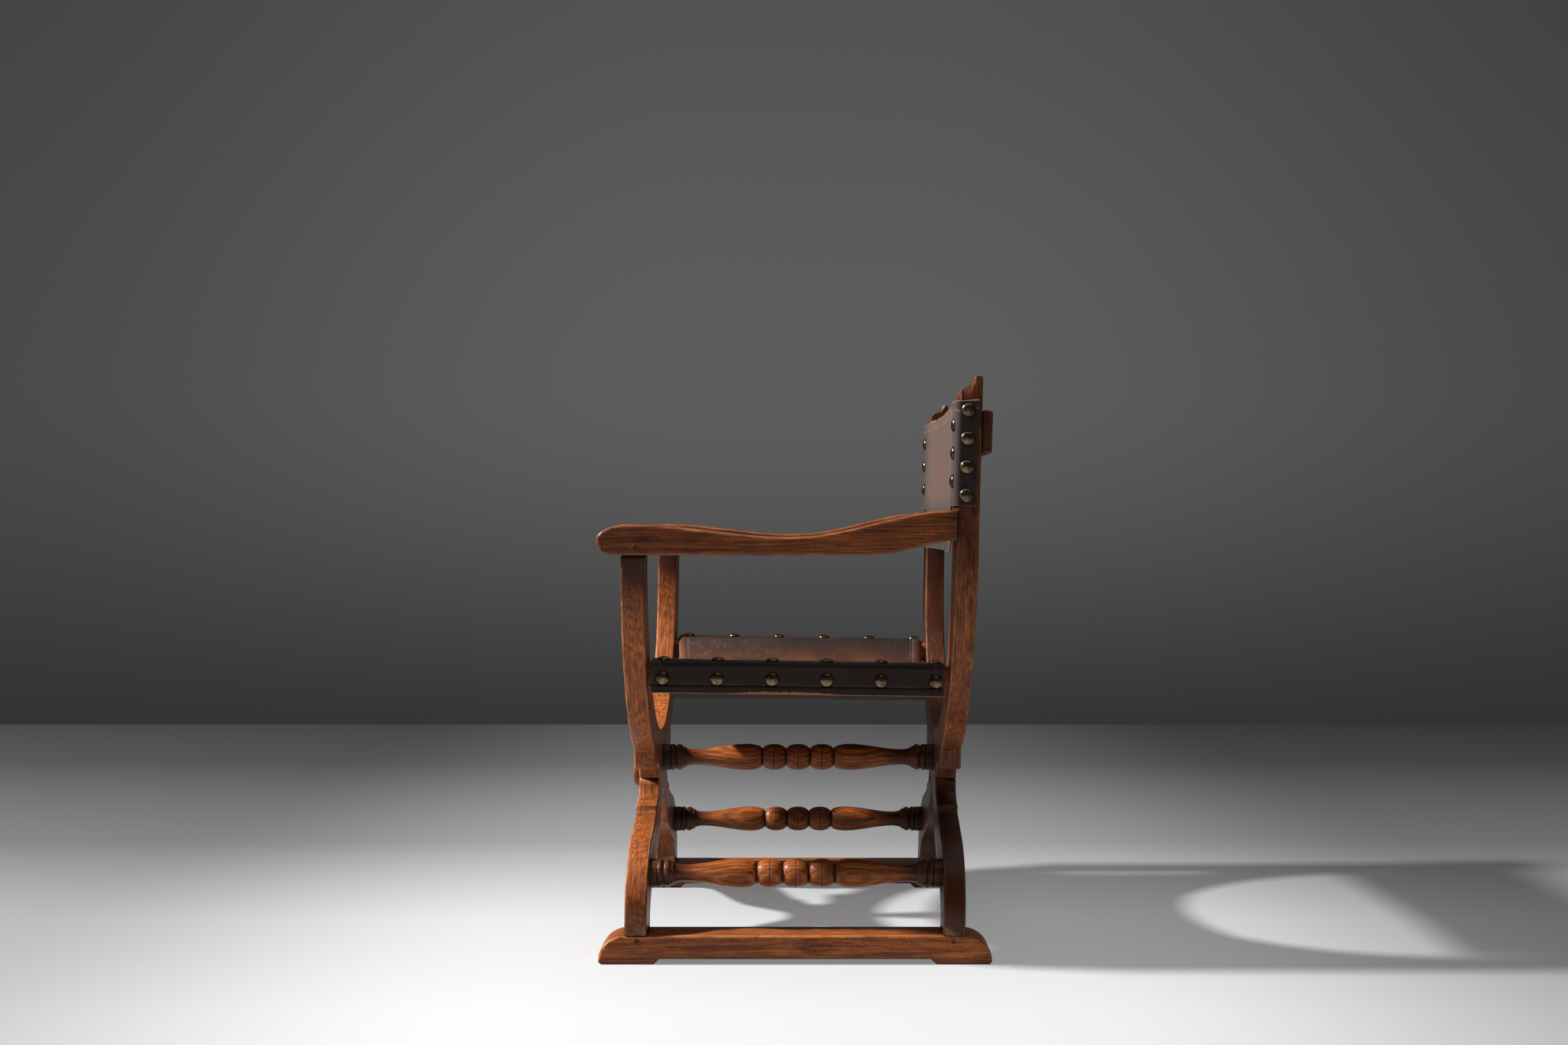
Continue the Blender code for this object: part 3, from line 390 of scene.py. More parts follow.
def turned(name, part, profile, centre, axis, material):
    """A piece turned on the lathe: the profile's places run along the axis from the centre."""
    shape = bmesh.new()
    out = Vector((0, 0, 1))
    tips = [(profile[0][0], 0), *profile, (profile[-1][0], 0)]
    line = [shape.verts.new(centre + axis * place + out * radius) for place, radius in tips]
    edges = [shape.edges.new(pair) for pair in zip(line, line[1:])]
    bmesh.ops.spin(shape, geom=[*line, *edges], cent=centre, axis=axis, angle=2 * math.pi,
                   steps=TURNING_STEPS, use_merge=True)
    bmesh.ops.remove_doubles(shape, verts=shape.verts, dist=WELD)
    bmesh.ops.recalc_face_normals(shape, faces=shape.faces)
    piece = eased(new_piece(name, shape, "turned_oak", material), TURNED_CORNER)
    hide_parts(part)
    return piece


# The rods are painted darker towards their ends, both as stain and as shade where they meet the legs, and
# their hollows get deeper painted shade and wax.
turned_oak = oak("turned_oak", (90, 0, 0), (0.03, 0.21, 0), stain=0.06,
                 shade_and_stain=(("Y", 0.135, 0.185, 0.7),), figure=0.42, roughness=0.30, edge=0.0025,
                 hollow=0.040, dirt=0.35)
for place in ("centre", "left", "right"):
    low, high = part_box(f"stretcher_{place}")
    middle = (low + high) / 2
    outward = stretcher_half((high.y - low.y) / 2 - TENON_LENGTH)
    inward = [(-y, radius) for y, radius in outward[:0:-1]]
    turned(f"stretcher_rod_{place}", f"stretcher_{place}", inward + outward, middle,
           Vector((0, 1, 0)), turned_oak)

# Boss: a small turned oak disc with a rounded rim, glued on a spigot over the middle of the
# front crossing, where it hides the halved joint.

BOSS_RADIUS = 0.028
BOSS_RIM = 0.007
BOSS_HEIGHT = 0.016
BOSS_CROWN = 0.001
BOSS_FLAT = 0.008
BOSS_GAP = 0.0003

boss_low, boss_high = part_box("crossing_boss")
boss_centre = Vector((0, boss_low.y + BOSS_HEIGHT, (boss_low.z + boss_high.z) / 2))
boss_round = (BOSS_RIM - BOSS_CROWN, BOSS_RIM)
boss_rim = sweep((BOSS_HEIGHT - BOSS_RIM, BOSS_RADIUS - BOSS_RIM), boss_round, 90, 0, RING_STEPS)
boss_face = [(BOSS_GAP, BOSS_RADIUS), *boss_rim, (BOSS_HEIGHT, BOSS_FLAT)]
boss_oak = oak("boss_oak", (0, 90, 0), (0.12, 0.02, 0), roughness=0.36)
turned("boss", "crossing_boss", boss_face, boss_centre, Vector((0, -1, 0)), boss_oak)

# Arms: sawn oak arms lie along the posts, with a low dip in the middle and a knuckle at the
# front that is incised with a ring on its side. Round pegs hold them to the posts.

SCROLL_EYE = (-0.2795, 0.6385)
SCROLL_EYE_RADIUS = 0.0092
SCROLL_EYE_GROOVE = 0.0011
SCROLL_EYE_STEPS = 40
GROOVE_STEPS = 8
SIDES = (("left", 1), ("right", -1))


def incised(piece, hollow):
    """Cut a closed shape out of a piece for good."""
    mesh = bpy.data.meshes.new("cutter")
    hollow.to_mesh(mesh)
    hollow.free()
    cutter = bpy.data.objects.new("cutter", mesh)
    bpy.context.scene.collection.objects.link(cutter)
    bpy.context.view_layer.update()
    cut = piece.modifiers.new("cut", "BOOLEAN")
    cut.object = cutter
    cut.solver = "EXACT"
    piece.modifiers.move(len(piece.modifiers) - 1, 0)
    shading = piece.modifiers["edge_shading"]
    shading.show_viewport = False
    seen = piece.evaluated_get(bpy.context.evaluated_depsgraph_get())
    carved = bpy.data.meshes.new_from_object(seen)
    piece.modifiers.remove(cut)
    shading.show_viewport = True
    piece.data = carved
    bpy.data.objects.remove(cutter)


def outer_face(part, sign):
    """Where the outer face of a part on the left or right lies along X."""
    low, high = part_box(part)
    return high.x if sign > 0 else low.x


arm_oak = oak("arm_oak", (90, 0, 0), (0.09, -0.66, 0), stain=0.42, roughness=0.38)
for side, sign in SIDES:
    arm = sawn(f"arm_rest_{side}", f"arm_{side}", arm_oak)
    eye = Vector((outer_face(f"arm_{side}", sign), *SCROLL_EYE))
    ring = bmesh.new()
    around = bmesh.ops.create_circle(ring, segments=GROOVE_STEPS, radius=SCROLL_EYE_GROOVE)["verts"]
    on_ring = Matrix.Translation(eye + Vector((0, 0, SCROLL_EYE_RADIUS)))
    bmesh.ops.transform(ring, matrix=on_ring @ Matrix.Rotation(math.pi / 2, 4, "X"), verts=around)
    bmesh.ops.spin(ring, geom=[*ring.verts, *ring.edges], cent=eye, axis=(1, 0, 0), angle=2 * math.pi,
                   steps=SCROLL_EYE_STEPS, use_merge=True)
    bmesh.ops.remove_doubles(ring, verts=ring.verts, dist=WELD)
    bmesh.ops.recalc_face_normals(ring, faces=ring.faces)
    incised(arm, ring)

# Pegs: short round pins of darker oak, driven through the joints and trimmed off just proud
# of the outer faces of the runners and the arms.

PEG_RADIUS = 0.0044
PEG_LENGTH = 0.008
PEG_PROUD = 0.0006
PEG_EDGE = 0.0009
PEG_STEPS = 20
RUNNER_FACE = 0.2734
RUNNER_PEGS = (-0.2427, 0.2418)
RUNNER_PEG_Z = 0.0355
ARM_PEG = (-0.2394, 0.6385)
ROUND_CORNER = 60


def pin_end(shape, place, radius, length, steps, edge):
    """A round pin along the Z of its place, with the rim of its outer end eased."""
    pin = bmesh.ops.create_cone(shape, cap_ends=True, segments=steps, radius1=radius, radius2=radius,
                                depth=length, matrix=place)["verts"]
    outward = place.to_3x3() @ Vector((0, 0, 1))
    faces = {face for vert in pin for face in vert.link_faces}
    tip = max(faces, key=lambda face: outward.dot(face.calc_center_median()))
    bmesh.ops.bevel(shape, geom=list(tip.edges), offset=edge, affect="EDGES", segments=3,
                    profile=0.5, material=-1)


peg_oak = oak("peg_oak", (0, 90, 0), (0.02, 0.05, 0), stain=0.75, roughness=0.5, edge=0.0012)
for side, sign in SIDES:
    sunk = sign * (PEG_PROUD - PEG_LENGTH / 2)
    spots = [Vector((sign * RUNNER_FACE + sunk, y, RUNNER_PEG_Z)) for y in RUNNER_PEGS]
    spots.append(Vector((outer_face(f"arm_{side}", sign) + sunk, *ARM_PEG)))
    pegs = bmesh.new()
    for spot in spots:
        lie = Matrix.Translation(spot) @ Matrix.Rotation(sign * math.pi / 2, 4, "Y")
        pin_end(pegs, lie, PEG_RADIUS, PEG_LENGTH, PEG_STEPS, PEG_EDGE)
    eased(new_piece(f"pegs_{side}", pegs, "frame_oak", peg_oak), ROUND_CORNER)

# Seat rails: two oak rails tenoned between the front and rear posts. The leather hides nearly
# all of them, so they stay as they are and only get the stained oak.

rail_oak = oak("rail_oak", (90, 0, 0), (0.04, 0.43, 0))
for side in ("left", "right"):
    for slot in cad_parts[f"seat_rail_{side}"].material_slots:
        slot.material = rail_oak

# Seat: one hide slung between the rails, turned over them and nailed through the top and the
# side. Its front and rear edges are hemmed, and the flaps end in a sewn and rubbed fold.

RAIL_TOP = 0.4565
RAIL_OUTER = 0.2640
RAIL_INNER = 0.2200
RAIL_ROUND = 0.0120
RAIL_CORNER = 0.0030
FIT = 0.0003
SEAT_PITCH = math.radians(0.8)
SEAT_THICK = 0.0040
SLING_ANGLE = 34.7
SLING_STEPS = 60
SLING_SPACING = 0.0045
RAIL_SPACING = 0.0012
RAIL_BLEND = 0.008
FLAP_LENGTH = 0.0440
SEAT_FRONT = -0.2203
SEAT_REAR = 0.22835
FRONT_HOLLOW = 0.0145
REAR_HOLLOW = 0.0080
HEM = 0.0145
HEM_RISE = 0.0009
HEM_STEP = 0.003
HEM_ROWS = (0, 0.0006, 0.0015, 0.003, 0.006, 0.009, 0.0115, 0.0135, 0.0145, 0.0152, 0.0162, 0.0175, 0.020)
MIDDLE_ROWS = 84
SEAM_OFFSET = 0.0004
SEAM_DEPTH = 0.0007
SEAM_HALF = 0.0016
FLAP_BAND = 0.0125
BAND_RISE = 0.0022
BAND_STEP = 0.0024
BAND_SEAM_OFFSET = 0.0006
BAND_SEAM_DEPTH = 0.0010
BAND_SEAM_HALF = 0.0011
BAND_RIPPLE = 0.0006
WAVE_HEIGHT = 0.0022
RIPPLE_HEIGHT = 0.0005
EDGE_ROLL = 0.0030
EDGE_ROLL_REACH = 0.0080
PILLOW = 0.0012
PILLOW_REACH = 0.0150
SEAT_NAILS = 6
CUT_EASE = 0.0009
CUT_CORNER = 55

# Wear and painted light of the seat: a middle and a reach front to back for where people sit, which is also
# painted as lit, for where it is dried out and where it is scraped.
SAT_ON_AND_LIT = (0.01, 0.15)
SAT_AND_LIT_MARGIN = 0.002
SAT_AND_LIT_FADE = 0.050
DRIED = (-0.17, 0.12)
DRIED_MARGIN = 0.006
SCRAPED = (-0.015, 0.068)
SCRAPED_LEAST = 0.0016
SCRAPED_MORE = 0.0060
HEM_OVERLAP = 0.0005
HEM_FADE = 0.0012
# The front hem is painted much redder than the rear one, as painted light where the fold faces the lamp,
# over the redder hide of the hems.
FRONT_HEM_RED_AND_LIGHT = 0.75
REAR_HEM_RED_AND_LIGHT = 0.20

HIDE_DARK = (0.020, 0.0115, 0.0085)
HIDE_WORN = (0.120, 0.033, 0.014)
SEAT_DUSTY = (0.040, 0.022, 0.016)
HIDE_HEM = (0.220, 0.060, 0.024)
HIDE_RAW = (0.470, 0.195, 0.085)
HIDE_DRY = (0.300, 0.190, 0.140)
HIDE_FLESH = (0.030, 0.018, 0.012)
# The second and third marks also carry painted light: a lit middle on the seat and a painted glare on the
# back.
WEAR_AND_LIGHT_KINDS = ("hem", "rub", "dry", "bare")


def hide_grain():
    """Pebbles, fine cracks and scuffs of an old waxed hide, on its flat place in metres."""
    tree, given, filled = shared_effect(
        "hide_grain",
        {"Vector": "Vector"},
        {"Pebble": "Float", "Cracks": "Float", "Creases": "Float", "Scuffs": "Float", "Patches": "Float"},
    )
    sway = node(tree, "TexNoise", Vector=given["Vector"], Scale=70, Detail=2).outputs["Color"]
    bent = on_vector(tree, "ADD", given["Vector"], on_vector(tree, "MULTIPLY", sway, (0.010, 0.010, 0)))
    pebble = node(tree, "TexVoronoi", {"feature": "SMOOTH_F1"}, Vector=bent, Scale=780, Smoothness=0.6)
    crack = node(tree, "TexVoronoi", {"feature": "DISTANCE_TO_EDGE"}, Vector=bent, Scale=520)
    stretched = on_vector(tree, "MULTIPLY", bent, (0.45, 1, 1))
    crackle = node(tree, "TexVoronoi", {"feature": "DISTANCE_TO_EDGE"}, Vector=stretched, Scale=290)
    scratch = node(tree, "TexVoronoi", {"feature": "DISTANCE_TO_EDGE"}, Vector=stretched, Scale=70)
    broken = fade(tree, cloudy(tree, given["Vector"], 38, 3, 0.55), 0.42, 0.66)
    fine = fade(tree, crackle.outputs["Distance"], 0.16, 0.02, 0.0, 0.22)
    long = fade(tree, scratch.outputs["Distance"], 0.036, 0.008)
    slant = node(tree, "Mapping", Vector=given["Vector"], Rotation=(0, 0, 0.5), Scale=(1, 0.06, 1))
    steep = node(tree, "Mapping", Vector=given["Vector"], Rotation=(0, 0, -0.9), Scale=(0.05, 1, 1))
    one = cloudy(tree, slant.outputs["Vector"], 260, 1)
    two = cloudy(tree, steep.outputs["Vector"], 330, 1)
    scuffs = maths(tree, "MAXIMUM", fade(tree, one, 0.68, 0.76), fade(tree, two, 0.69, 0.77))
    feed(tree, filled["Pebble"], pebble.outputs["Distance"])
    feed(tree, filled["Cracks"], fade(tree, crack.outputs["Distance"], 0.10, 0.01))
    feed(tree, filled["Creases"], maths(tree, "MULTIPLY", broken, maths(tree, "MAXIMUM", fine, long)))
    feed(tree, filled["Scuffs"], scuffs)
    feed(tree, filled["Patches"], fade(tree, cloudy(tree, given["Vector"], 14, 5, 0.62), 0.40, 0.66))
    return tree


HIDE_GRAIN = hide_grain()


def hide(name, dust_and_glare, creasing, sheen, roughness):
    """The grain side of the leather: paler in the middle from use, dustier where it has dried out, its hems
    redder, and its fibres bare where an edge wears through, with painted light in the same marks: a painted
    glare on the back, a lit middle and front hem on the seat, pale painted highlights on edges and painted
    shade near the nails and rails. Creasing is how much the dried creases show."""
    material, tree, shader = finish_material(name, Sheen_Weight=sheen, Sheen_Roughness=0.45,
                                             Specular_IOR_Level=0.25)
    place = node(tree, "Attribute", {"attribute_name": "cut_place"}).outputs["Vector"]
    hem, rub, dry, bare = [node(tree, "Attribute", {"attribute_name": kind}).outputs["Fac"]
                           for kind in WEAR_AND_LIGHT_KINDS]
    grain = placed(tree, HIDE_GRAIN, Vector=place)
    use = placed(tree, HANDLING_AND_PAINTED_LIGHT, Vector=place, Edge=0.0020, Hollow=0.020, Dirt=0.0)
    patches = grain["Patches"]
    paler = maths(tree, "MULTIPLY", rub, maths(tree, "MULTIPLY_ADD", patches, 0.55, 0.45))
    skin = blend(tree, maths(tree, "MULTIPLY", dry, 0.8), HIDE_DARK, dust_and_glare)
    skin = blend(tree, maths(tree, "MULTIPLY_ADD", patches, 0.10, paler), skin, HIDE_WORN)
    redder = maths(tree, "MULTIPLY", hem, maths(tree, "MULTIPLY_ADD", patches, 0.5, 0.4))
    skin = blend(tree, redder, skin, HIDE_HEM)
    skin = blend(tree, maths(tree, "MULTIPLY", grain["Scuffs"], 0.40), skin, HIDE_WORN)
    skin = blend(tree, maths(tree, "MULTIPLY", grain["Cracks"], 0.30), skin, WAX_AND_SHADE)
    creased = maths(tree, "MULTIPLY", grain["Creases"], maths(tree, "MULTIPLY", dry, creasing))
    skin = blend(tree, maths(tree, "MULTIPLY", creased, 0.26), skin, HIDE_DRY)
    # Pale leather edges: partly wear, partly a painted highlight.
    skin = blend(tree, maths(tree, "MULTIPLY", use["Rubbed_and_lit"], 0.6), skin, HIDE_RAW)
    torn = maths(tree, "MULTIPLY_ADD", cloudy(tree, place, 240, 4, 0.6), 0.7, bare)
    skin = blend(tree, fade(tree, torn, 0.60, 0.78), skin, HIDE_RAW)
    # Painted shade where the hide meets the nails and the rails, together with wax.
    skin = blend(tree, maths(tree, "MULTIPLY", use["Grime_and_shade"], 0.6), skin, WAX_AND_SHADE)
    feed(tree, shader.inputs["Base Color"], skin)
    dull = maths(tree, "MULTIPLY_ADD", grain["Scuffs"], 0.18, roughness)
    dull = maths(tree, "MULTIPLY_ADD", patches, 0.12, dull)
    feed(tree, shader.inputs["Roughness"], maths(tree, "MULTIPLY_ADD", grain["Cracks"], 0.2, dull))
    relief = maths(tree, "MULTIPLY", grain["Pebble"], -0.5)
    relief = maths(tree, "MULTIPLY_ADD", grain["Cracks"], -0.12, relief)
    relief = maths(tree, "MULTIPLY_ADD", creased, -0.8, relief)
    embossed(tree, shader, relief, 0.40)
    return material


def raw_hide(name, colour, roughness):
    """Cut edges and the fibrous flesh side."""
    material, tree, shader = finish_material(name)
    place = object_place(tree)
    fuzz = cloudy(tree, place, 700, 3, 0.7)
    stain = cloudy(tree, place, 45, 4, 0.6)
    bare = blend(tree, fade(tree, stain, 0.35, 0.65), [0.35 * c for c in colour], colour)
    bare = blend(tree, maths(tree, "MULTIPLY", fuzz, 0.5), bare, STAIN_PORE)
    feed(tree, shader.inputs["Base Color"], bare)
    feed(tree, shader.inputs["Roughness"], fade(tree, fuzz, 0.3, 0.7, roughness - 0.1, roughness + 0.1))
    embossed(tree, shader, fuzz, 0.5)
    return material


def evenly(points, spacing):
    """Points at even steps along a line, whose first two or three numbers are places."""
    run = [0.0]
    for a, b in zip(points, points[1:]):
        run.append(run[-1] + math.dist(a[:3], b[:3]))
    steps = max(1, round(run[-1] / spacing))
    spread, i = [], 0
    for k in range(steps + 1):
        want = run[-1] * k / steps
        while i < len(run) - 2 and run[i + 1] < want:
            i += 1
        share = (want - run[i]) / (run[i + 1] - run[i])
        spread.append(tuple(a + (b - a) * share for a, b in zip(points[i], points[i + 1])))
    return spread


def stations(half):
    """A whole section from its half: each station's place, its normal and its run from the middle."""
    section = [(-x, z) for x, z in half[:0:-1]] + half
    runs = [0.0]
    for a, b in zip(section, section[1:]):
        runs.append(runs[-1] + math.dist(a, b))
    made = []
    for i, (x, z) in enumerate(section):
        a, b = section[max(i - 1, 0)], section[min(i + 1, len(section) - 1)]
        tangent = Vector((b[0] - a[0], b[1] - a[1])).normalized()
        made.append(((x, z), (-tangent.y, tangent.x), runs[i] - runs[-1] / 2))
    return made


def laid_sheet(columns, rows, lay):
    """A grid of a sheet's grain side: lay gives each point's place, its flat place, and its amounts of hem,
    rubbing, dryness and bare fibre, some of which also carry painted light."""
    shape = bmesh.new()
    bmesh.ops.create_grid(shape, x_segments=len(columns) - 1, y_segments=len(rows) - 1, size=0.5)
    shape.verts.layers.float_vector.new("cut_place")
    for kind in WEAR_AND_LIGHT_KINDS:
        shape.verts.layers.float.new(kind)
    cut_place = shape.verts.layers.float_vector["cut_place"]
    wear = [shape.verts.layers.float[kind] for kind in WEAR_AND_LIGHT_KINDS]
    for vert in shape.verts:
        column = columns[round((vert.co.x + 0.5) * (len(columns) - 1))]
        row = rows[round((vert.co.y + 0.5) * (len(rows) - 1))]
        vert.co, vert[cut_place], *amounts = lay(column, row)
        for layer, amount in zip(wear, amounts):
            vert[layer] = amount
    return shape


def cut_hide(name, shape, slot, thickness, *materials):
    """Give a laid sheet its thickness, with raw edges, and round the edges off."""
    piece = new_piece(name, shape, slot, *materials)
    piece.data.shade_smooth()
    wall = piece.modifiers.new("thickness", "SOLIDIFY")
    wall.thickness, wall.offset = thickness, -1
    wall.use_even_offset = True
    wall.material_offset, wall.material_offset_rim = 1, 2
    soft = piece.modifiers.new("eased_edges", "BEVEL")
    soft.width, soft.segments, soft.limit_method = CUT_EASE, 2, "ANGLE"
    soft.angle_limit = math.radians(CUT_CORNER)
    soft.material = -1
    return piece


def ramp(value, width):
    """From 0 to 1 as the value goes from 0 to the width."""
    return max(0.0, min(1.0, value / width))


def bell(place, middle, reach, flatness=2):
    """1 in the middle, falling away at the reach on both sides."""
    return math.exp(-(((place - middle) / reach) ** flatness))


def chance(u, v, seed):
    """A soft random number between -1 and 1, the same at each run, whose waves u and v count."""
    return noise.noise(Vector((u, v, seed)))


def bump_between(spot, nails, reach, height):
    """How far leather stands up between nails that hold it down."""
    nearest = min((spot - nail).length for nail in nails)
    return height * (1 - bell(nearest, 0, reach))


def hem_lift(inset):
    """Height of a folded hem and of the seam beside it, by the distance from the edge."""
    seam = bell(inset - HEM, SEAM_OFFSET, SEAM_HALF)
    return HEM_RISE * ramp(HEM - inset, HEM_STEP) - SEAM_DEPTH * seam


def nail_spots(prefix, count):
    """Middles of the nails in one row."""
    corners = [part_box(f"{prefix}_{i}") for i in range(1, count + 1)]
    return [(low + high) / 2 for low, high in corners]


round_x = RAIL_INNER + RAIL_ROUND
under = (RAIL_ROUND + FIT,) * 2
lift_off = sweep((round_x, -RAIL_ROUND), under, 90 + SLING_ANGLE, 90, 1)[0]
steepness = math.tan(math.radians(SLING_ANGLE)) / (2 * lift_off[0])
sling = []
for i in range(SLING_STEPS + 1):
    x = lift_off[0] * i / SLING_STEPS
    slope = 2 * steepness * x
    over = SEAT_THICK / math.hypot(1, slope)
    sling.append((x - slope * over, lift_off[1] - steepness * (lift_off[0] ** 2 - x * x) + over))
over_round = (RAIL_ROUND + FIT + SEAT_THICK,) * 2
over_corner = (RAIL_CORNER + FIT + SEAT_THICK,) * 2
over_rail = [
    *sweep((round_x, -RAIL_ROUND), over_round, 90 + SLING_ANGLE, 90, ARC_STEPS),
    *sweep((RAIL_OUTER - RAIL_CORNER, -RAIL_CORNER), over_corner, 90, 0, RING_STEPS),
    (RAIL_OUTER + FIT + SEAT_THICK, -FLAP_LENGTH),
]
seat_columns = stations(evenly(sling, SLING_SPACING) + evenly(over_rail, RAIL_SPACING)[1:])
seat_half_width = -seat_columns[0][2]
seat_rows = [("front", inset) for inset in HEM_ROWS]
seat_rows += [("middle", k / MIDDLE_ROWS) for k in range(1, MIDDLE_ROWS)]
seat_rows += [("rear", inset) for inset in HEM_ROWS[::-1]]
seat_place = Matrix.Translation((0, 0, RAIL_TOP)) @ Matrix.Rotation(-SEAT_PITCH, 4, "X")
seat_nails = [spot for face in ("top", "side") for side in ("left", "right")
              for spot in nail_spots(f"seat_{face}_nail_{side}", SEAT_NAILS)]


def seat_edges(x):
    """The front and the rear edge, which are drawn in where the sling hangs free."""
    drawn = max(0.0, 1 - (x / lift_off[0]) ** 2)
    return SEAT_FRONT + FRONT_HOLLOW * drawn, SEAT_REAR - REAR_HOLLOW * drawn


def lay_seat(column, row):
    """Place, flat place, wear and painted light of one point on the seat's grain side."""
    (x, z), (nx, nz), run = column
    start, end = seat_edges(x)
    border, step = row
    if border == "front":
        y = start + step
    elif border == "middle":
        y = start + HEM_ROWS[-1] + (end - start - 2 * HEM_ROWS[-1]) * step
    else:
        y = end - step
    edge = min(y - start, end - y)
    on_rail = ramp(abs(x) - lift_off[0], RAIL_BLEND)
    from_bottom = seat_half_width - abs(run)
    spot = Vector((x, y, z))
    wave = WAVE_HEIGHT * chance(x * 7, y * 6, 0.3) + RIPPLE_HEIGHT * chance(x * 24, y * 20, 2.7)
    lift = hem_lift(edge) + wave * (1 - on_rail)
    lift += on_rail * bump_between(seat_place @ spot, seat_nails, PILLOW_REACH, PILLOW)
    lift -= EDGE_ROLL * max(0.0, 1 - edge / EDGE_ROLL_REACH) ** 2 * (1 - on_rail)
    lift += BAND_RISE * ramp(FLAP_BAND - from_bottom, BAND_STEP)
    lift -= BAND_SEAM_DEPTH * bell(from_bottom - FLAP_BAND, BAND_SEAM_OFFSET, BAND_SEAM_HALF)
    if from_bottom < FLAP_BAND:
        lift += BAND_RIPPLE * chance(y * 45, 0, x)
    spot += Vector((nx, 0, nz)) * lift
    on_flap = from_bottom < FLAP_LENGTH
    # Painted light: the front hem is made redder where it faces the lamp.
    hem_red_and_light = FRONT_HEM_RED_AND_LIGHT if y < 0 else REAR_HEM_RED_AND_LIGHT
    hem = 0.0 if on_flap else ramp(HEM + HEM_OVERLAP - edge, HEM_FADE) * hem_red_and_light
    # Painted light: the middle of the sling is made paler and redder where the lamp catches its belly, as
    # well as where it is worn by sitting.
    middle = smooth(ramp(RAIL_INNER - SAT_AND_LIT_MARGIN - abs(x), SAT_AND_LIT_FADE))
    sat_and_lit = middle * (0.40 + 0.60 * bell(y, *SAT_ON_AND_LIT, 4))
    dry = (0.15 + 0.85 * bell(y, *DRIED, 4)) * (abs(x) < RAIL_INNER + DRIED_MARGIN)
    scraped = SCRAPED_LEAST + SCRAPED_MORE * bell(y, *SCRAPED, 4)
    bare = max(0.0, 1 - from_bottom / scraped) * 0.7
    return seat_place @ spot, (run, y, 0), hem, sat_and_lit, dry, bare


seat_shape = laid_sheet(seat_columns, seat_rows, lay_seat)
seat_hide = hide("seat_hide", SEAT_DUSTY, creasing=1.0, sheen=0.0, roughness=0.44)
cut_edge = raw_hide("cut_edge", HIDE_RAW, roughness=0.7)
flesh_side = raw_hide("flesh_side", HIDE_FLESH, roughness=0.85)
seat = cut_hide("seat_sling", seat_shape, "seat_leather", SEAT_THICK, seat_hide, flesh_side, cut_edge)
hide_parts("seat_leather")

# Seat stitching: waxed linen thread, sewn through the hide by hand. Two pale rows hold each hem
# down, and a dark row of slanted stitches runs along the band at the end of each flap.

THREAD_PALE = (0.300, 0.205, 0.130)
THREAD_DARK = (0.030, 0.020, 0.014)
STITCH_PITCH = 0.0046
STITCH_SIZE = (0.0017, 0.00050, 0.0004)
STITCH_SLANT = math.radians(22)
HEM_SEAMS = (0.0152, 0.0182)
FLAP_STITCH = 0.0062


def sewn(name, runs, slot, material, slant=0.0):
    """Rows of small stitches: each run is a list of places with the leather's normal there."""
    pattern = bmesh.new()
    bmesh.ops.create_uvsphere(pattern, u_segments=6, v_segments=4, radius=1,
                              matrix=Matrix.Diagonal((*STITCH_SIZE, 1)))
    single = bpy.data.meshes.new("single_stitch")
    shape = bmesh.new()
    for run in runs:
        walk = evenly([(*place, *normal) for place, normal in run], STITCH_PITCH)
        for a, b in zip(walk, walk[1:]):
            start, end, up = Vector(a[:3]), Vector(b[:3]), Vector(a[3:])
            along = (end - start).normalized()
            across = up.cross(along).normalized()
            turn = Matrix((along, across, along.cross(across))).transposed().to_4x4()
            stitch = pattern.copy()
            stitch.transform(Matrix.Translation((start + end) / 2) @ turn @ Matrix.Rotation(slant, 4, "Z"))
            stitch.to_mesh(single)
            stitch.free()
            shape.from_mesh(single)
    pattern.free()
    bpy.data.meshes.remove(single)
    piece = new_piece(name, shape, slot, material)
    piece.data.shade_smooth()
    return piece


def waxed_thread(name, colour):
    """Twisted thread that is dirty in places."""
    material, tree, shader = finish_material(name)
    place = object_place(tree)
    dirt = cloudy(tree, place, 60, 3, 0.6)
    twist = cloudy(tree, place, 1500, 1)
    feed(tree, shader.inputs["Base Color"],
         blend(tree, fade(tree, dirt, 0.35, 0.62), [0.3 * c for c in colour], colour))
    feed(tree, shader.inputs["Roughness"], fade(tree, twist, 0.3, 0.7, 0.55, 0.8))
    return material


pale_thread = waxed_thread("pale_thread", THREAD_PALE)
dark_thread = waxed_thread("dark_thread", THREAD_DARK)


def seat_run(pick):
    """Places on the seat's grain side with their normals, one for each column or row picked."""
    run = []
    for column, row in pick:
        spot = lay_seat(column, row)[0]
        normal = seat_place.to_3x3() @ Vector((column[1][0], 0, column[1][1]))
        run.append((spot, normal))
    return run


top_columns = [column for column in seat_columns if abs(column[2]) < seat_half_width - FLAP_LENGTH]
hem_runs = [seat_run([(column, (border, inset)) for column in top_columns])
            for border in ("front", "rear") for inset in HEM_SEAMS]
seat_stitching = sewn("seat_stitching", hem_runs, "seat_leather", pale_thread)
flap_runs = []
for sign in (1, -1):
    want = sign * (seat_half_width - FLAP_STITCH)
    column = min(seat_columns, key=lambda station: abs(station[2] - want))
    flap_runs.append(seat_run([(column, row) for row in seat_rows]))
flap_stitching = sewn("flap_stitching", flap_runs, "seat_leather", dark_thread, STITCH_SLANT)

# Back: a band of the same hide, stretched between the rear uprights, turned round their outer
# edges and nailed there. It is notched over the arms, and hemmed along its top and bottom.

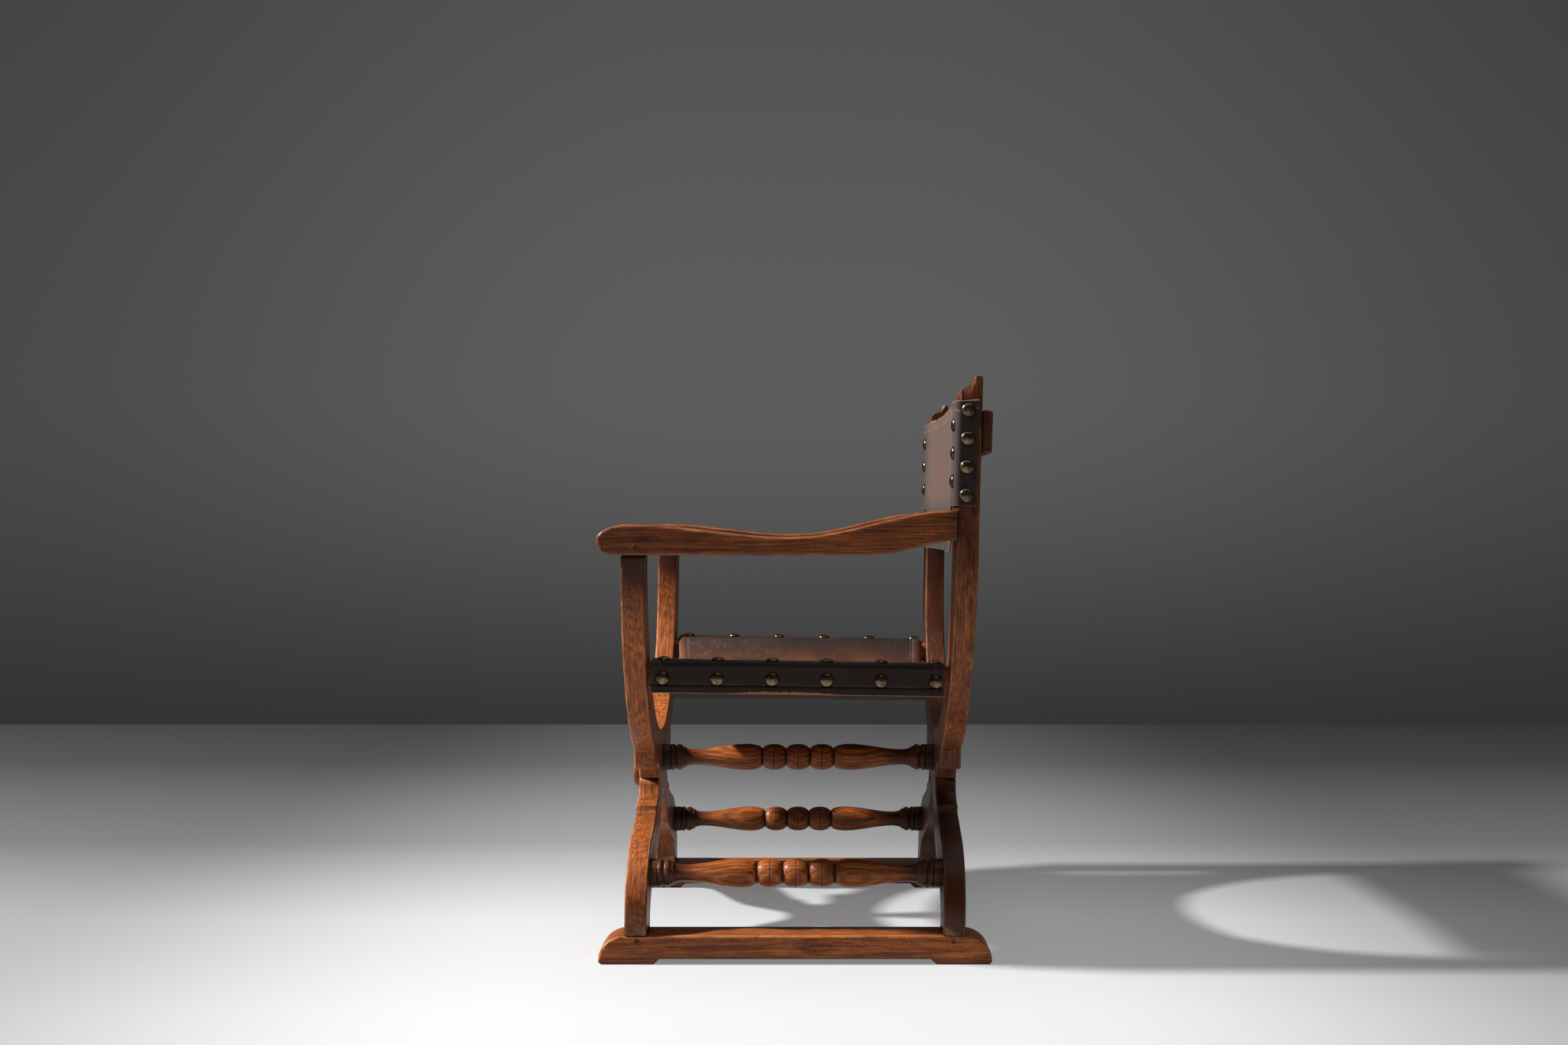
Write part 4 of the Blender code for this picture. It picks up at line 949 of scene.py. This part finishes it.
BACK_THICK = 0.0035
BACK_HALF_THICK = 0.0170
POST_OUTER = 0.3200
POST_EASE = 0.0025
BACK_TAB = 0.0290
BACK_BELLY = 0.0100
BACK_BOTTOM = 0.6300
BACK_NOTCH = 0.7010
BACK_TOP = 0.8610
BACK_FREE = 0.2500
BELLY_STEPS = 40
BELLY_SPACING = 0.0025
TAB_SPACING = 0.0019
ROWS_BELOW_NOTCH = 13
ROWS_ABOVE_NOTCH = 34
BACK_SIDE_NAILS = 4
BACK_FRONT_NAILS = 3
POST_BLEND = 0.010
TOP_REACH = 0.030
TOP_LUMPS = 0.0040
TOP_NICKS = 0.0008
TOP_SAG = 0.0015
TOP_CURL = 0.0018
BACK_HEM_FADE = 0.0040
# How the painted glare and the wear of the upper back fade in and spread.
LIT_AND_LEANT_FADE = (0.010, 0.030)
LEANT_AND_GLARE_HALF = 0.20
DUST_AND_GLARE_HALF = 0.27
TOP_SCRAPED_LEAST = 0.0006
TOP_SCRAPED_MORE = 0.0085
BACK_PATTERN = 0.7
REAR_MIDDLE = 0.2424
RAKE = math.radians(1.5)
# The dust colour of the back, also a painted glare on its upper panel.
BACK_DUST_AND_GLARE = (0.120, 0.078, 0.062)

face_y = -BACK_HALF_THICK - FIT - BACK_THICK
belly = []
for i in range(BELLY_STEPS + 1):
    share = i / BELLY_STEPS
    belly.append((BACK_FREE * i / BELLY_STEPS, face_y + BACK_BELLY * (1 - share ** 2)))
post_corner = (POST_OUTER - POST_EASE, -BACK_HALF_THICK + POST_EASE)
over_post = (POST_EASE + FIT + BACK_THICK,) * 2
round_tab = [
    (BACK_FREE, face_y),
    *sweep(post_corner, over_post, -90, 0, RING_STEPS),
    (POST_OUTER + FIT + BACK_THICK, -BACK_HALF_THICK - FIT + BACK_TAB),
]
back_columns = stations(evenly(belly, BELLY_SPACING) + evenly(round_tab, TAB_SPACING)[1:])
back_place = Matrix.Translation((0, REAR_MIDDLE, 0)) @ Matrix.Rotation(-RAKE, 4, "X")
lower_hem = [BACK_BOTTOM + inset for inset in HEM_ROWS]
upper_hem = [BACK_TOP - inset for inset in HEM_ROWS[::-1]]
below_notch = [lower_hem[-1] + (BACK_NOTCH - lower_hem[-1]) * k / ROWS_BELOW_NOTCH
               for k in range(1, ROWS_BELOW_NOTCH + 1)]
above_notch = [BACK_NOTCH + (upper_hem[0] - BACK_NOTCH) * k / ROWS_ABOVE_NOTCH
               for k in range(1, ROWS_ABOVE_NOTCH)]
back_rows = lower_hem + below_notch + above_notch + upper_hem
back_nails = [spot for face, count in (("side", BACK_SIDE_NAILS), ("front", BACK_FRONT_NAILS))
              for side in ("left", "right") for spot in nail_spots(f"back_{face}_nail_{side}", count)]


def lay_back(column, z):
    """Place, flat place, wear and painted light of one point on the back's grain side, which faces against
    the normal.
    """
    (x, y), (nx, ny), run = column
    edge = min(z - BACK_BOTTOM, BACK_TOP - z)
    on_post = ramp(abs(x) - BACK_FREE, POST_BLEND)
    near_top = max(0.0, 1 - (BACK_TOP - z) / TOP_REACH)
    lumps = TOP_LUMPS * chance(run * 22, 4.2, 0) + TOP_NICKS * chance(run * 60, 1.4, 0)
    spot = Vector((x, y, z + (lumps - TOP_SAG) * near_top))
    wave = WAVE_HEIGHT * chance(run * 7, z * 8, 1.1) + RIPPLE_HEIGHT * chance(run * 22, z * 26, 4.4)
    lift = hem_lift(edge) + wave * (1 - on_post)
    lift += near_top * TOP_CURL * (0.6 + chance(run * 36, z * 60, 7.7))
    lift += on_post * bump_between(back_place @ spot, back_nails, PILLOW_REACH, PILLOW)
    spot -= Vector((nx, ny, 0)) * lift
    reddened = max(0.0, 0.50 + chance(run * 17, z * 40, 3.1)) * (1 - on_post)
    hem = ramp(HEM + HEM_OVERLAP - edge, BACK_HEM_FADE) * reddened
    # The upper panel is painted paler and greyer as a painted glare, besides wear and dust. Below the notch
    # it is left dark, hem included, as painted shade under the arms.
    lit_and_leant_on = ramp(z - BACK_NOTCH + LIT_AND_LEANT_FADE[0], LIT_AND_LEANT_FADE[1])
    rubbed_and_lit = bell(x, 0, LEANT_AND_GLARE_HALF, 4) * 0.55 * lit_and_leant_on
    dry = lit_and_leant_on * bell(x, 0, DUST_AND_GLARE_HALF, 8)
    scraped = TOP_SCRAPED_LEAST + TOP_SCRAPED_MORE * max(0.0, chance(run * 21, 2.2, 0))
    bare = max(0.0, 1 - (BACK_TOP - z) / scraped) * 0.6
    return back_place @ spot, (run, z, BACK_PATTERN), hem * lit_and_leant_on, rubbed_and_lit, dry, bare


back_shape = laid_sheet(back_columns, back_rows, lay_back)
to_rear_frame = back_place.inverted()
wings = []
for face in back_shape.faces:
    middle = to_rear_frame @ face.calc_center_median()
    if middle.z < BACK_NOTCH and abs(middle.x) > BACK_FREE:
        wings.append(face)
bmesh.ops.delete(back_shape, geom=wings, context="FACES")
bmesh.ops.recalc_face_normals(back_shape, faces=back_shape.faces)
if sum(face.normal.y * face.calc_area() for face in back_shape.faces) > 0:
    bmesh.ops.reverse_faces(back_shape, faces=back_shape.faces)
back_hide = hide("back_hide", BACK_DUST_AND_GLARE, creasing=0.25, sheen=0.20, roughness=0.40)
back = cut_hide("back_band", back_shape, "back_leather", BACK_THICK, back_hide, flesh_side, cut_edge)
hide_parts("back_leather")


def back_run(row, columns):
    """Places on the back's grain side with their normals, along one row."""
    run = []
    for column in columns:
        normal = back_place.to_3x3() @ Vector((-column[1][0], -column[1][1], 0))
        run.append((lay_back(column, row)[0], normal))
    return run


free_columns = [column for column in back_columns if abs(column[0][0]) < BACK_FREE]
back_runs = [back_run(row, free_columns) for row in (BACK_TOP - HEM_SEAMS[0], BACK_BOTTOM + HEM_SEAMS[0])]
back_stitching = sewn("back_stitching", back_runs, "back_leather", pale_thread)

# Brace: a sawn oak slat laid across the backs of the rear uprights, behind the top of the
# leather. It is dark with stain, and two screws at each end hold it to the uprights.

brace_oak = oak("brace_oak", (0, -90, 0), (0.07, 0.33, 0), stain=0.78, dirt=0.25)
brace = sawn("brace_slat", "back_brace", brace_oak)

# Nails: large domed brass upholstery nails, dark with age and bright on their crowns, driven
# through the leather in rows of even pitch.

NAIL_RADIUS = 0.0105
NAIL_HEIGHT = 0.0060
NAIL_RIM = 0.0010
NAIL_LIP = (0.0003, 0.0002)
NAIL_HOLLOW = 0.006
NAIL_STEPS = 28
NAIL_ARC_STEPS = 9
NAIL_TILT = 0.05
NAIL_TILT_CHANGE = 90
BRASS_DARK = (0.075, 0.051, 0.032)
BRASS_BRIGHT = (0.200, 0.138, 0.084)


def aged_brass():
    """Brass with patches of tarnish, and wax in its hollows."""
    material, tree, shader = finish_material("aged_brass", Metallic=1.0)
    place = object_place(tree)
    use = placed(tree, HANDLING_AND_PAINTED_LIGHT, Vector=place, Edge=0.0012, Hollow=0.008, Dirt=0.1)
    tarnish = cloudy(tree, place, 160, 4, 0.65)
    speckle = cloudy(tree, place, 1100, 2, 0.6)
    metal = blend(tree, fade(tree, tarnish, 0.36, 0.64), BRASS_DARK, BRASS_BRIGHT)
    # Painted shade where the dome meets the leather, together with wax in the hollows.
    metal = blend(tree, maths(tree, "MULTIPLY", use["Grime_and_shade"], 0.85), metal, WAX_AND_SHADE)
    feed(tree, shader.inputs["Base Color"], metal)
    feed(tree, shader.inputs["Roughness"], fade(tree, speckle, 0.35, 0.7, 0.20, 0.38))
    embossed(tree, shader, tarnish, 0.18)
    return material


def nail_row(name, prefix, count, axis, material):
    """Hammered domes over the nails of one row, each a little tilted by the hammer."""
    shape = bmesh.new()
    dome = sweep((0, NAIL_RIM), (NAIL_RADIUS, NAIL_HEIGHT - NAIL_RIM), 90, 0, NAIL_ARC_STEPS)
    profile = [*dome, (NAIL_RADIUS - NAIL_LIP[0], NAIL_LIP[1]), (NAIL_HOLLOW, 0), (0, 0)]
    for i in range(1, count + 1):
        low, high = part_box(f"{prefix}_{i}")
        reach = (high - low) / 2
        apex = (low + high) / 2 + Vector([a * r for a, r in zip(axis, reach)])
        struck = noise.noise_vector(apex * NAIL_TILT_CHANGE) * NAIL_TILT
        turn = Vector((0, 0, 1)).rotation_difference((axis + struck).normalized())
        line = [shape.verts.new((radius, 0, height)) for radius, height in profile]
        edges = [shape.edges.new(pair) for pair in zip(line, line[1:])]
        bmesh.ops.spin(shape, geom=[*line, *edges], cent=(0, 0, 0), axis=(0, 0, 1),
                       angle=2 * math.pi, steps=NAIL_STEPS, use_merge=True)
        fresh = [vert for vert in shape.verts if not vert.tag]
        for vert in fresh:
            vert.co = apex - axis * NAIL_HEIGHT + turn @ vert.co
            vert.tag = True
    bmesh.ops.remove_doubles(shape, verts=shape.verts, dist=WELD)
    bmesh.ops.recalc_face_normals(shape, faces=shape.faces)
    row = eased(new_piece(name, shape, "nail_brass", material), ROUND_CORNER)
    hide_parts(*[f"{prefix}_{i}" for i in range(1, count + 1)])
    return row


nail_brass = aged_brass()
seat_up = seat_place.to_3x3() @ Vector((0, 0, 1))
back_front = back_place.to_3x3() @ Vector((0, -1, 0))
for side, sign in SIDES:
    outward = Vector((sign, 0, 0))
    rows = (
        ("seat_top", SEAT_NAILS, seat_up),
        ("seat_side", SEAT_NAILS, outward),
        ("back_side", BACK_SIDE_NAILS, outward),
        ("back_front", BACK_FRONT_NAILS, back_front),
    )
    for place, count, axis in rows:
        nail_row(f"{place}_row_{side}", f"{place}_nail_{side}", count, axis, nail_brass)

# Brace screws: countersunk brass screws with slotted heads, two into each upright, driven
# flush with the back of the brace and left with their slots as they came to rest.

SCREW_RADIUS = 0.0046
SCREW_DEPTH = 0.0040
SCREW_PROUD = 0.0005
SCREW_EDGE = 0.0006
SCREW_STEPS = 28
SLOT_SIZE = (0.0011, 0.0120, 0.0026)
SLOT_FIRST = 0.6
SLOT_NEXT = 1.9
SCREW_X = 0.2985
SCREW_SPREAD = 0.0105

brace_corners = [to_rear_frame @ vert.co for vert in brace.data.vertices]
brace_back = max(corner.y for corner in brace_corners)
brace_top = max(corner.z for corner in brace_corners)
brace_bottom = min(corner.z for corner in brace_corners)
heads, slots = bmesh.new(), bmesh.new()
sunk = Matrix.Translation((0, 0, -SCREW_DEPTH / 2))
spots = [(sign * SCREW_X, (brace_top + brace_bottom) / 2 + up * SCREW_SPREAD)
         for sign in (1, -1) for up in (1, -1)]
for turn, (x, z) in enumerate(spots):
    spot = Matrix.Translation((x, brace_back + SCREW_PROUD, z))
    lie = back_place @ spot @ Matrix.Rotation(-math.pi / 2, 4, "X")
    pin_end(heads, lie @ sunk, SCREW_RADIUS, SCREW_DEPTH, SCREW_STEPS, SCREW_EDGE)
    rest = Matrix.Rotation(SLOT_FIRST + SLOT_NEXT * turn, 4, "Z")
    bmesh.ops.create_cube(slots, size=1, matrix=lie @ rest @ Matrix.Diagonal((*SLOT_SIZE, 1)))
screws = eased(new_piece("brace_screws", heads, "nail_brass", nail_brass), SAWN_CORNER)
incised(screws, slots)

# Studio: a pale floor whose painted light fades into a grey backdrop. A strong lamp stands high in front of
# the chair, a wide weak one hangs overhead, and the camera looks square at the side.

CAMERA_PLACE = (2.604, 0.0218, 0.6762)
CAMERA_LENS = 35
CAMERA_SENSOR = 36
CAMERA_SHIFT = -33 / 2048
STUDIO_HALF = 9
BACKDROP_X = -2.5
FLOOR_WHITE_X = 0.5
# Painted light on the floor: its colour falls away from the camera as the lamp's light would, and a glow
# lifts its shadows.
FLOOR_LIGHT_FALLOFF = ((-2.5, 0.105), (-1.7, 0.150), (-0.62, 0.40), (-0.30, 0.65), (0.0, 0.88), (0.5, 1.0))
FLOOR_SHADE = 0.44
FLOOR_GLOW = 0.24
BACKDROP_DARK = (0.026, 0.026, 0.026)
BACKDROP_LIGHT = (0.106, 0.106, 0.106)
AIR_GREY = (0.05, 0.05, 0.05, 1)


def studio_plane(name, matrix):
    """A wide flat sheet of the studio, which is no part of the chair."""
    shape = bmesh.new()
    bmesh.ops.create_grid(shape, x_segments=1, y_segments=1, size=STUDIO_HALF, matrix=matrix)
    mesh = bpy.data.meshes.new(name)
    shape.to_mesh(mesh)
    shape.free()
    plane = bpy.data.objects.new(name, mesh)
    bpy.context.scene.collection.objects.link(plane)
    return plane


def floor_paint():
    """Painted light on the floor: pale near the camera and grey towards the backdrop, with a painted patch
    of light along the chair and a glow that the camera and reflections see, which lifts the chair's shadow
    but keeps it.
    """
    material, tree, shader = finish_material("floor_paint", Roughness=0.85, Specular_IOR_Level=0.1,
                                             Emission_Strength=FLOOR_GLOW)
    place = node(tree, "SeparateXYZ", Vector=object_place(tree)).outputs
    share = node(tree, "MapRange", Value=place["X"], From_Min=BACKDROP_X, From_Max=FLOOR_WHITE_X)
    light_falloff = node(tree, "ValToRGB", Fac=share.outputs["Result"])
    stops = light_falloff.color_ramp.elements
    while len(stops) < len(FLOOR_LIGHT_FALLOFF):
        stops.new(0.5)
    for stop, (x, grey) in zip(stops, FLOOR_LIGHT_FALLOFF):
        stop.position = (x - BACKDROP_X) / (FLOOR_WHITE_X - BACKDROP_X)
        stop.color = (grey, grey, grey, 1)
    # A painted patch of light, brightest along the chair.
    light_pool = fade(tree, maths(tree, "ABSOLUTE", place["Y"]), 0.35, 1.35, 1.0, 0.50)
    grey = blend(tree, light_pool, (0, 0, 0), light_falloff.outputs["Color"])
    feed(tree, shader.inputs["Base Color"], blend(tree, FLOOR_SHADE, (0, 0, 0), grey))
    # Painted light: a glow that only the camera and reflections see.
    path = node(tree, "LightPath").outputs
    seen = maths(tree, "MAXIMUM", path["Is Camera Ray"], path["Is Glossy Ray"])
    feed(tree, shader.inputs["Emission Color"], blend(tree, seen, (0, 0, 0), grey))
    return material


def backdrop_paint():
    """A soft grey glow behind the chair that dies away to the sides and the top."""
    material, tree, shader = finish_material("backdrop_paint", Base_Color=(0.004, 0.004, 0.004, 1),
                                             Roughness=1.0, Specular_IOR_Level=0.0, Emission_Strength=1.0)
    place = node(tree, "SeparateXYZ", Vector=object_place(tree)).outputs
    from_floor = fade(tree, place["Z"], -0.25, 1.15)
    to_top = fade(tree, place["Z"], 1.1, 3.0, 0.0, 0.4)
    to_sides = fade(tree, maths(tree, "ABSOLUTE", place["Y"]), 0.3, 3.0, 1.0, 0.45)
    glow = maths(tree, "MULTIPLY", maths(tree, "SUBTRACT", from_floor, to_top), to_sides)
    feed(tree, shader.inputs["Emission Color"], blend(tree, glow, BACKDROP_DARK, BACKDROP_LIGHT))
    return material


floor = studio_plane("studio_floor", Matrix.Translation((BACKDROP_X + STUDIO_HALF, 0, 0)))
floor.data.materials.append(floor_paint())
upright = Matrix.Rotation(math.pi / 2, 4, "Y")
backdrop = studio_plane("studio_backdrop", Matrix.Translation((BACKDROP_X, 0, STUDIO_HALF)) @ upright)
backdrop.data.materials.append(backdrop_paint())


def lamp(name, place, aim, size, power):
    """A round soft lamp, turned to what it lights."""
    light = bpy.data.lights.new(name, "AREA")
    light.shape, light.size, light.energy = "DISK", size, power
    holder = bpy.data.objects.new(name, light)
    holder.location = place
    holder.rotation_euler = (Vector(aim) - Vector(place)).to_track_quat("-Z", "Y").to_euler()
    bpy.context.scene.collection.objects.link(holder)


lamp("key_lamp", (0.50, -7.63, 6.80), (0, 0, 0.4), 0.60, 2150)
lamp("top_lamp", (0.3, 0.4, 3.6), (0, 0.1, 0), 3.6, 28)

studio_air = bpy.data.worlds.new("studio_air")
studio_air.use_nodes = True
studio_air.node_tree.nodes["Background"].inputs["Color"].default_value = AIR_GREY
bpy.context.scene.world = studio_air

camera = bpy.data.cameras.new("photo_camera")
camera.lens, camera.sensor_width = CAMERA_LENS, CAMERA_SENSOR
camera.shift_x = CAMERA_SHIFT
viewer = bpy.data.objects.new("photo_camera", camera)
viewer.location = CAMERA_PLACE
viewer.rotation_euler = (math.pi / 2, 0, math.pi / 2)
bpy.context.scene.collection.objects.link(viewer)
bpy.context.scene.camera = viewer
bpy.context.scene.view_settings.view_transform = "Standard"
